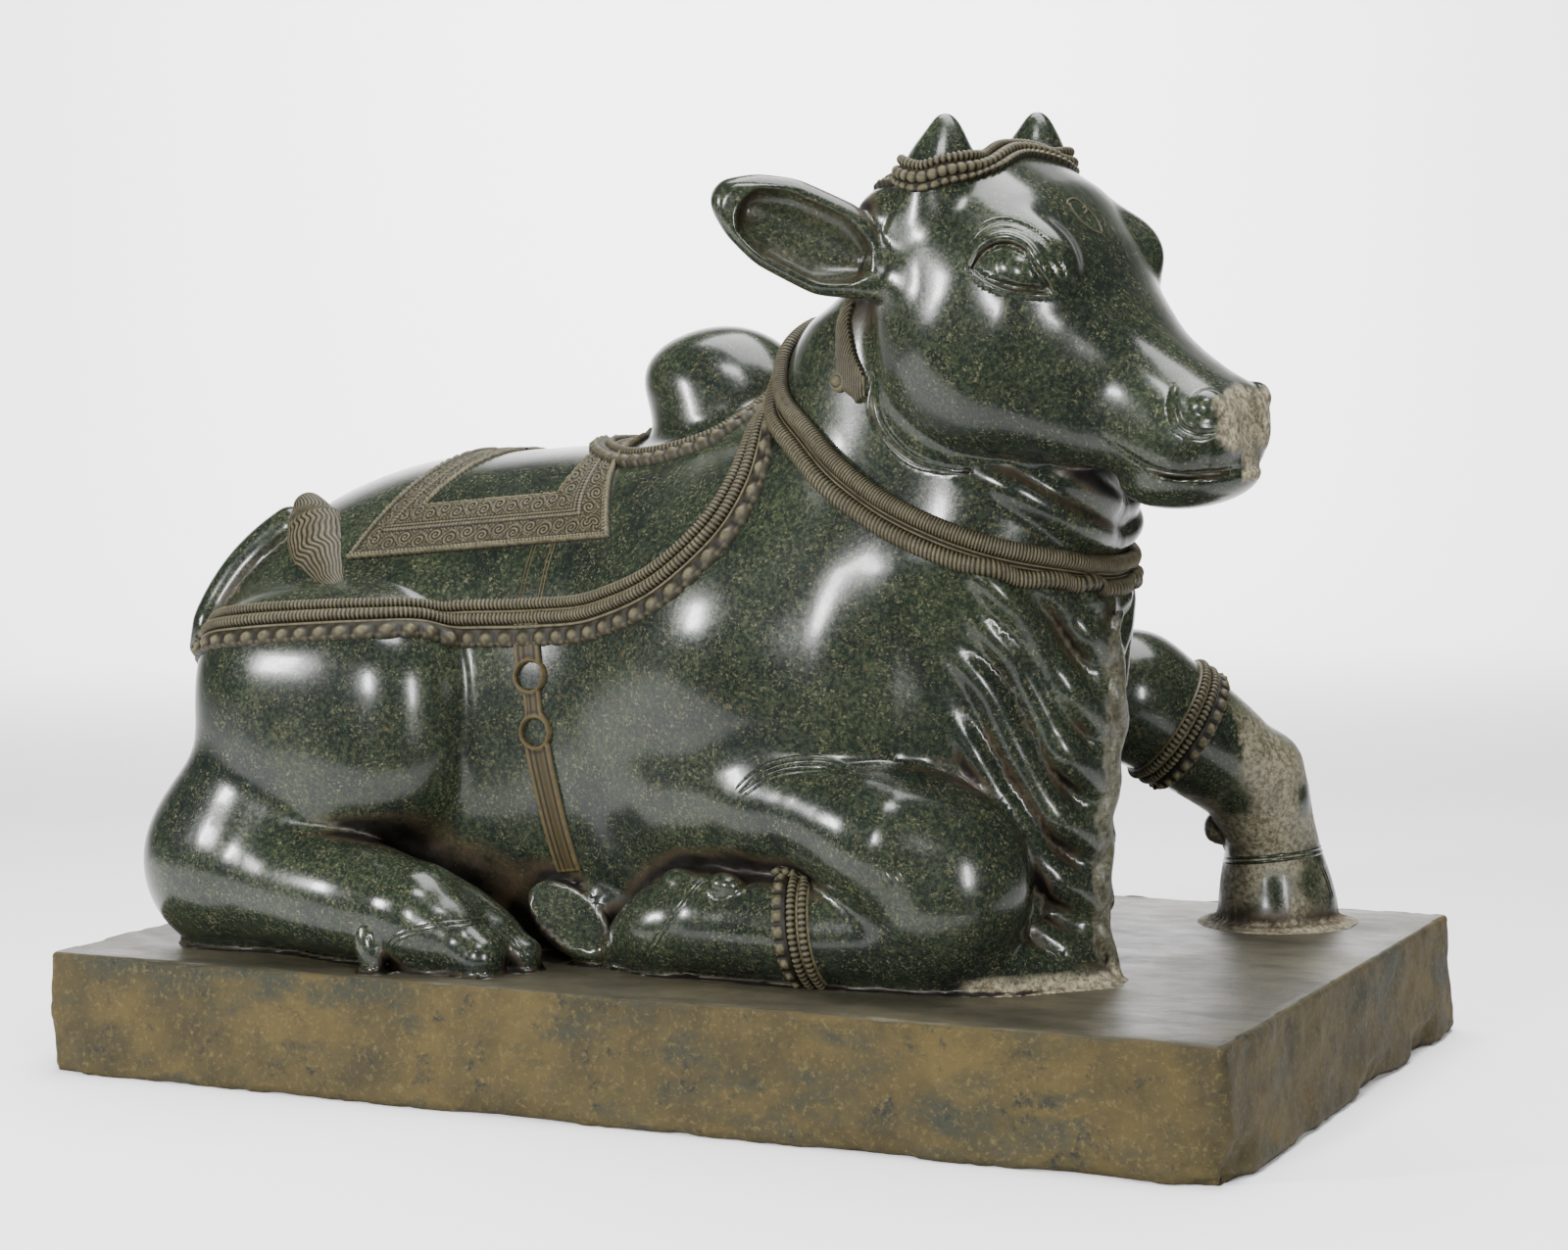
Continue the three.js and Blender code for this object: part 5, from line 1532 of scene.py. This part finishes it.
# Materials.
class Nodes:
    """A material's node tree, with short names for what the stone needs."""

    def __init__(self, name):
        self.material = bpy.data.materials.new(name)
        self.material.use_nodes = True
        self.tree = self.material.node_tree
        self.shader = self.tree.nodes["Principled BSDF"]
        self.where = self.tree.nodes.new("ShaderNodeTexCoord").outputs["Object"]

    def feed(self, socket, value):
        """Links another node's output to a socket, or sets a plain value."""
        if isinstance(value, bpy.types.NodeSocket):
            self.tree.links.new(value, socket)
        else:
            socket.default_value = value

    def add(self, kind, inputs=None, **settings):
        node = self.tree.nodes.new(kind)
        for key, value in settings.items():
            setattr(node, key, value)
        for key, value in (inputs or {}).items():
            self.feed(node.inputs[key], value)
        return node

    def noise(self, size_mm, detail, rough, stretch=None):
        where = self.where
        if stretch:
            where = self.add("ShaderNodeMapping", {"Vector": where, "Scale": stretch}).outputs[0]
        inputs = {"Vector": where, "Scale": 1000 / size_mm, "Detail": detail, "Roughness": rough}
        return self.add("ShaderNodeTexNoise", inputs).outputs["Fac"]

    def ramp(self, value, low, high, a=0.0, b=1.0):
        inputs = {"Value": value, "From Min": low, "From Max": high, "To Min": a, "To Max": b}
        return self.add("ShaderNodeMapRange", inputs).outputs["Result"]

    def patches(self, size_mm, detail, rough, low, high, a=0.0, b=1.0, stretch=None):
        """Noise in lumps of about `size_mm`, drawn apart so that `low` gives a and `high` gives b."""
        return self.ramp(self.noise(size_mm, detail, rough, stretch), low, high, a, b)

    def times(self, a, b):
        return self.add("ShaderNodeMath", {0: a, 1: b}, operation="MULTIPLY").outputs[0]

    def plus(self, a, b):
        return self.add("ShaderNodeMath", {0: a, 1: b}, operation="ADD").outputs[0]

    def mix(self, share, a, b):
        colours = [(*value, 1) if isinstance(value, tuple) else value for value in (a, b)]
        inputs = dict(zip((0, 6, 7), (share, *colours)))  # its sockets for a share and for colours
        return self.add("ShaderNodeMix", inputs, data_type="RGBA").outputs[2]

    def mask(self, name):
        return self.add("ShaderNodeAttribute", attribute_name=name).outputs["Fac"]

    def bump(self, height, mm, before=None):
        inputs = {"Height": height, "Strength": 1.0, "Distance": mm * MM}
        if before is not None:
            inputs["Normal"] = before
        return self.add("ShaderNodeBump", inputs).outputs["Normal"]

    def put(self, **sockets):
        for key, value in sockets.items():
            self.feed(self.shader.inputs[key.replace("_", " ")], value)


def polished_stone():
    """Green-black stone, densely mottled with yellow-green, with brown patina in the hollows and painted
    shade near black in the deepest of them, and softly glossy.
    """
    n = Nodes("polished_stone")
    clouds = n.noise(75, 4, 0.6)
    ground = n.mix(n.ramp(clouds, 0.35, 0.65), (0.005, 0.0075, 0.0065), (0.009, 0.013, 0.009))
    mottle = n.patches(4.2, 6, 0.78, 0.46, 0.60)
    amount = n.ramp(clouds, 0.34, 0.66, 0.20, 0.80)
    tone = n.mix(n.times(mottle, amount), ground, (0.034, 0.043, 0.021))
    flecks = n.times(n.patches(2.8, 4, 0.8, 0.55, 0.63), n.patches(16, 4, 0.65, 0.40, 0.56))
    tone = n.mix(n.times(flecks, 0.5), tone, (0.16, 0.15, 0.08))
    rust = n.times(n.patches(7, 5, 0.75, 0.58, 0.70), n.patches(90, 3, 0.55, 0.48, 0.62))
    tone = n.mix(n.times(rust, 0.6), tone, (0.085, 0.06, 0.025))
    hollow = n.mask("hollow")
    raw = n.mask("raw")
    crumbs = n.mix(n.patches(5, 6, 0.8, 0.42, 0.60), (0.07, 0.058, 0.033), (0.30, 0.27, 0.19))
    tone = n.mix(raw, tone, crumbs)
    patch = n.patches(24, 5, 0.7, 0.32, 0.58)
    stain = n.times(n.ramp(hollow, 0.22, 0.7), patch)
    tone = n.mix(stain, tone, (0.034, 0.021, 0.010))
    # Painted shade: the deepest hollows are darkened to near black.
    tone = n.mix(n.ramp(hollow, 0.5, 0.8), tone, (0.005, 0.004, 0.003))
    worn = n.patches(110, 4, 0.6, 0.3, 0.7, 0.15, 0.27)
    dull = n.plus(n.times(stain, 0.35), n.times(raw, 0.5))
    rough = n.plus(n.plus(worn, dull), n.times(mottle, 0.05))
    grain = n.bump(n.noise(3.0, 4, 0.65), 0.06)
    grain = n.bump(n.noise(30, 2, 0.55), 0.15, grain)
    pits = n.bump(n.times(n.noise(3.5, 5, 0.75), raw), 1.6, grain)
    polish = n.times(n.ramp(hollow, 0.3, 0.7, 0.12, 0.0), n.ramp(raw, 0.0, 0.5, 1.0, 0.0))
    n.put(Base_Color=tone, Roughness=rough, Normal=pits, IOR=1.34, Coat_Weight=polish, Coat_Roughness=0.1)
    return n.material


def carved_stone(name, face, crest):
    """The same stone left matt by the chisel: dark faces, crests lightened as rubbed wear and as painted
    highlight, and hollows darkened to near black as painted shade.
    """
    n = Nodes(name)
    hollow = n.mask("hollow")
    # Crests are lightened partly as rubbed wear and partly as painted highlight.
    rubbed = n.times(n.ramp(hollow, 0.5, 0.1), n.patches(30, 5, 0.7, 0.25, 0.6, 0.35, 1.0))
    tone = n.mix(rubbed, face, crest)
    tone = n.mix(n.patches(5, 4, 0.7, 0.45, 0.75), tone, (0.022, 0.019, 0.010))
    # Painted shade: recesses of the relief are darkened to near black.
    tone = n.mix(n.ramp(hollow, 0.42, 0.72), tone, (0.006, 0.005, 0.003))
    grain = n.bump(n.noise(1.6, 3, 0.7), 0.15)
    n.put(Base_Color=tone, Roughness=0.55, Normal=grain, IOR=1.28)
    return n.material


def slab_stone():
    """The slab: chisel-dressed olive-brown sides, and a top rubbed smooth and grey-green."""
    n = Nodes("slab_stone")
    top = n.mask("top")
    along = (0.5, 1, 1)
    side = n.mix(n.patches(75, 5, 0.65, 0.35, 0.65), (0.021, 0.0165, 0.005), (0.052, 0.037, 0.009))
    side = n.mix(n.patches(150, 5, 0.7, 0.50, 0.62, stretch=(1, 1, 2.0)), side, (0.016, 0.017, 0.009))
    side = n.mix(n.patches(28, 6, 0.8, 0.56, 0.66), side, (0.008, 0.009, 0.006))
    side = n.mix(n.patches(5, 5, 0.75, 0.53, 0.72), side, (0.078, 0.060, 0.020))
    clouds = n.patches(80, 5, 0.65, 0.38, 0.62, stretch=along)
    flat = n.mix(clouds, (0.024, 0.022, 0.014), (0.066, 0.058, 0.036))
    flat = n.mix(n.patches(8, 5, 0.75, 0.50, 0.70), flat, (0.032, 0.034, 0.025))
    tone = n.mix(top, side, flat)
    tone = n.mix(n.times(n.mask("hollow"), 0.85), tone, (0.045, 0.028, 0.014))
    gloss = n.patches(60, 5, 0.7, 0.35, 0.65, 0.32, 0.5, along)
    rough = n.plus(n.times(top, gloss), n.ramp(top, 0, 1, 0.75, 0.0))
    pits = n.bump(n.noise(4, 6, 0.75), 0.6)
    lumps = n.bump(n.times(n.noise(20, 5, 0.7), n.ramp(top, 0, 1, 1.0, 0.35)), 2.2, pits)
    n.put(Base_Color=tone, Roughness=rough, Normal=lumps, IOR=1.33)
    return n.material


def plain_surround():
    n = Nodes("pale_surround")
    n.put(Base_Color=(0.90, 0.89, 0.90, 1), Roughness=0.9)
    return n.material


gloss = polished_stone()
for piece in (torso, neck_head, *incised_lines):
    piece.data.materials.append(gloss)
slab.data.materials.append(slab_stone())
matt = carved_stone("carved_stone", face=(0.028, 0.024, 0.012), crest=(0.084, 0.074, 0.042))
tan = carved_stone("strap_stone", face=(0.026, 0.019, 0.006), crest=(0.058, 0.043, 0.016))
for piece in ornaments:
    piece.data.materials.append(tan if piece.name.startswith("girth") else matt)


# Surroundings: a pale floor that sweeps up into a wall, and soft boxes.
FLOOR_EDGE, WALL_PLACE, WALL_TOP, HALF_WIDTH, BEND = -0.76, 7.0, 6.0, 9.0, 2.5
FLOOR_SINK = 0.0005


def surround():
    turns = np.linspace(0, math.pi / 2, 16)
    bend = [(WALL_PLACE - BEND + BEND * math.sin(a), BEND - BEND * math.cos(a)) for a in turns]
    across, ahead = math.sin(CAMERA_YAW), math.cos(CAMERA_YAW)
    points, quads = [], []
    for i, (forward, up) in enumerate([(FLOOR_EDGE, 0.0), *bend, (WALL_PLACE, WALL_TOP)]):
        for side in (-HALF_WIDTH, HALF_WIDTH):
            x, y = side * ahead - forward * across, side * across + forward * ahead
            points.append((x, y, up - FLOOR_SINK))
        if i:
            quads.append((2 * i - 2, 2 * i - 1, 2 * i + 1, 2 * i))
    mesh = bpy.data.meshes.new("surround")
    mesh.from_pydata(points, [], quads)
    mesh.shade_smooth()
    made = placed("surround", mesh)
    made.data.materials.append(plain_surround())


def soft_box(name, azimuth, height, away, size, power, target=(0, 0, 0.42)):
    """A rectangular light that faces the target, `azimuth` degrees round it and `height` degrees up."""
    a, h = math.radians(azimuth), math.radians(height)
    way = Vector((math.cos(a) * math.cos(h), math.sin(a) * math.cos(h), math.sin(h)))
    data = bpy.data.lights.new(name, "AREA")
    data.shape = "RECTANGLE"
    data.size, data.size_y = size
    data.energy = power
    made = placed(name, data)
    made.location = Vector(target) + way * away
    made.rotation_euler = (-way).to_track_quat("-Z", "Y").to_euler()


surround()
soft_box("key", -130, 14, 3.4, (0.30, 0.55), power=130)
soft_box("second", -89, 9, 3.4, (0.28, 0.60), power=100)
soft_box("side", -45, 6, 3.4, (0.28, 0.90), power=90)
soft_box("high", -70, 54, 3.0, (0.8, 0.5), power=60)
soft_box("overhead", 60, 80, 3.0, (3.0, 2.0), power=280)
soft_box("wall", -63.6, 36, 3.7, (5.0, 1.0), power=650, target=(-3.1, 6.3, 1.0))
world = bpy.data.worlds.new("studio")
bpy.context.scene.world = world
world.use_nodes = True
background = world.node_tree.nodes["Background"]
background.inputs["Color"].default_value = (0.93, 0.96, 1.0, 1)
background.inputs["Strength"].default_value = 0.11
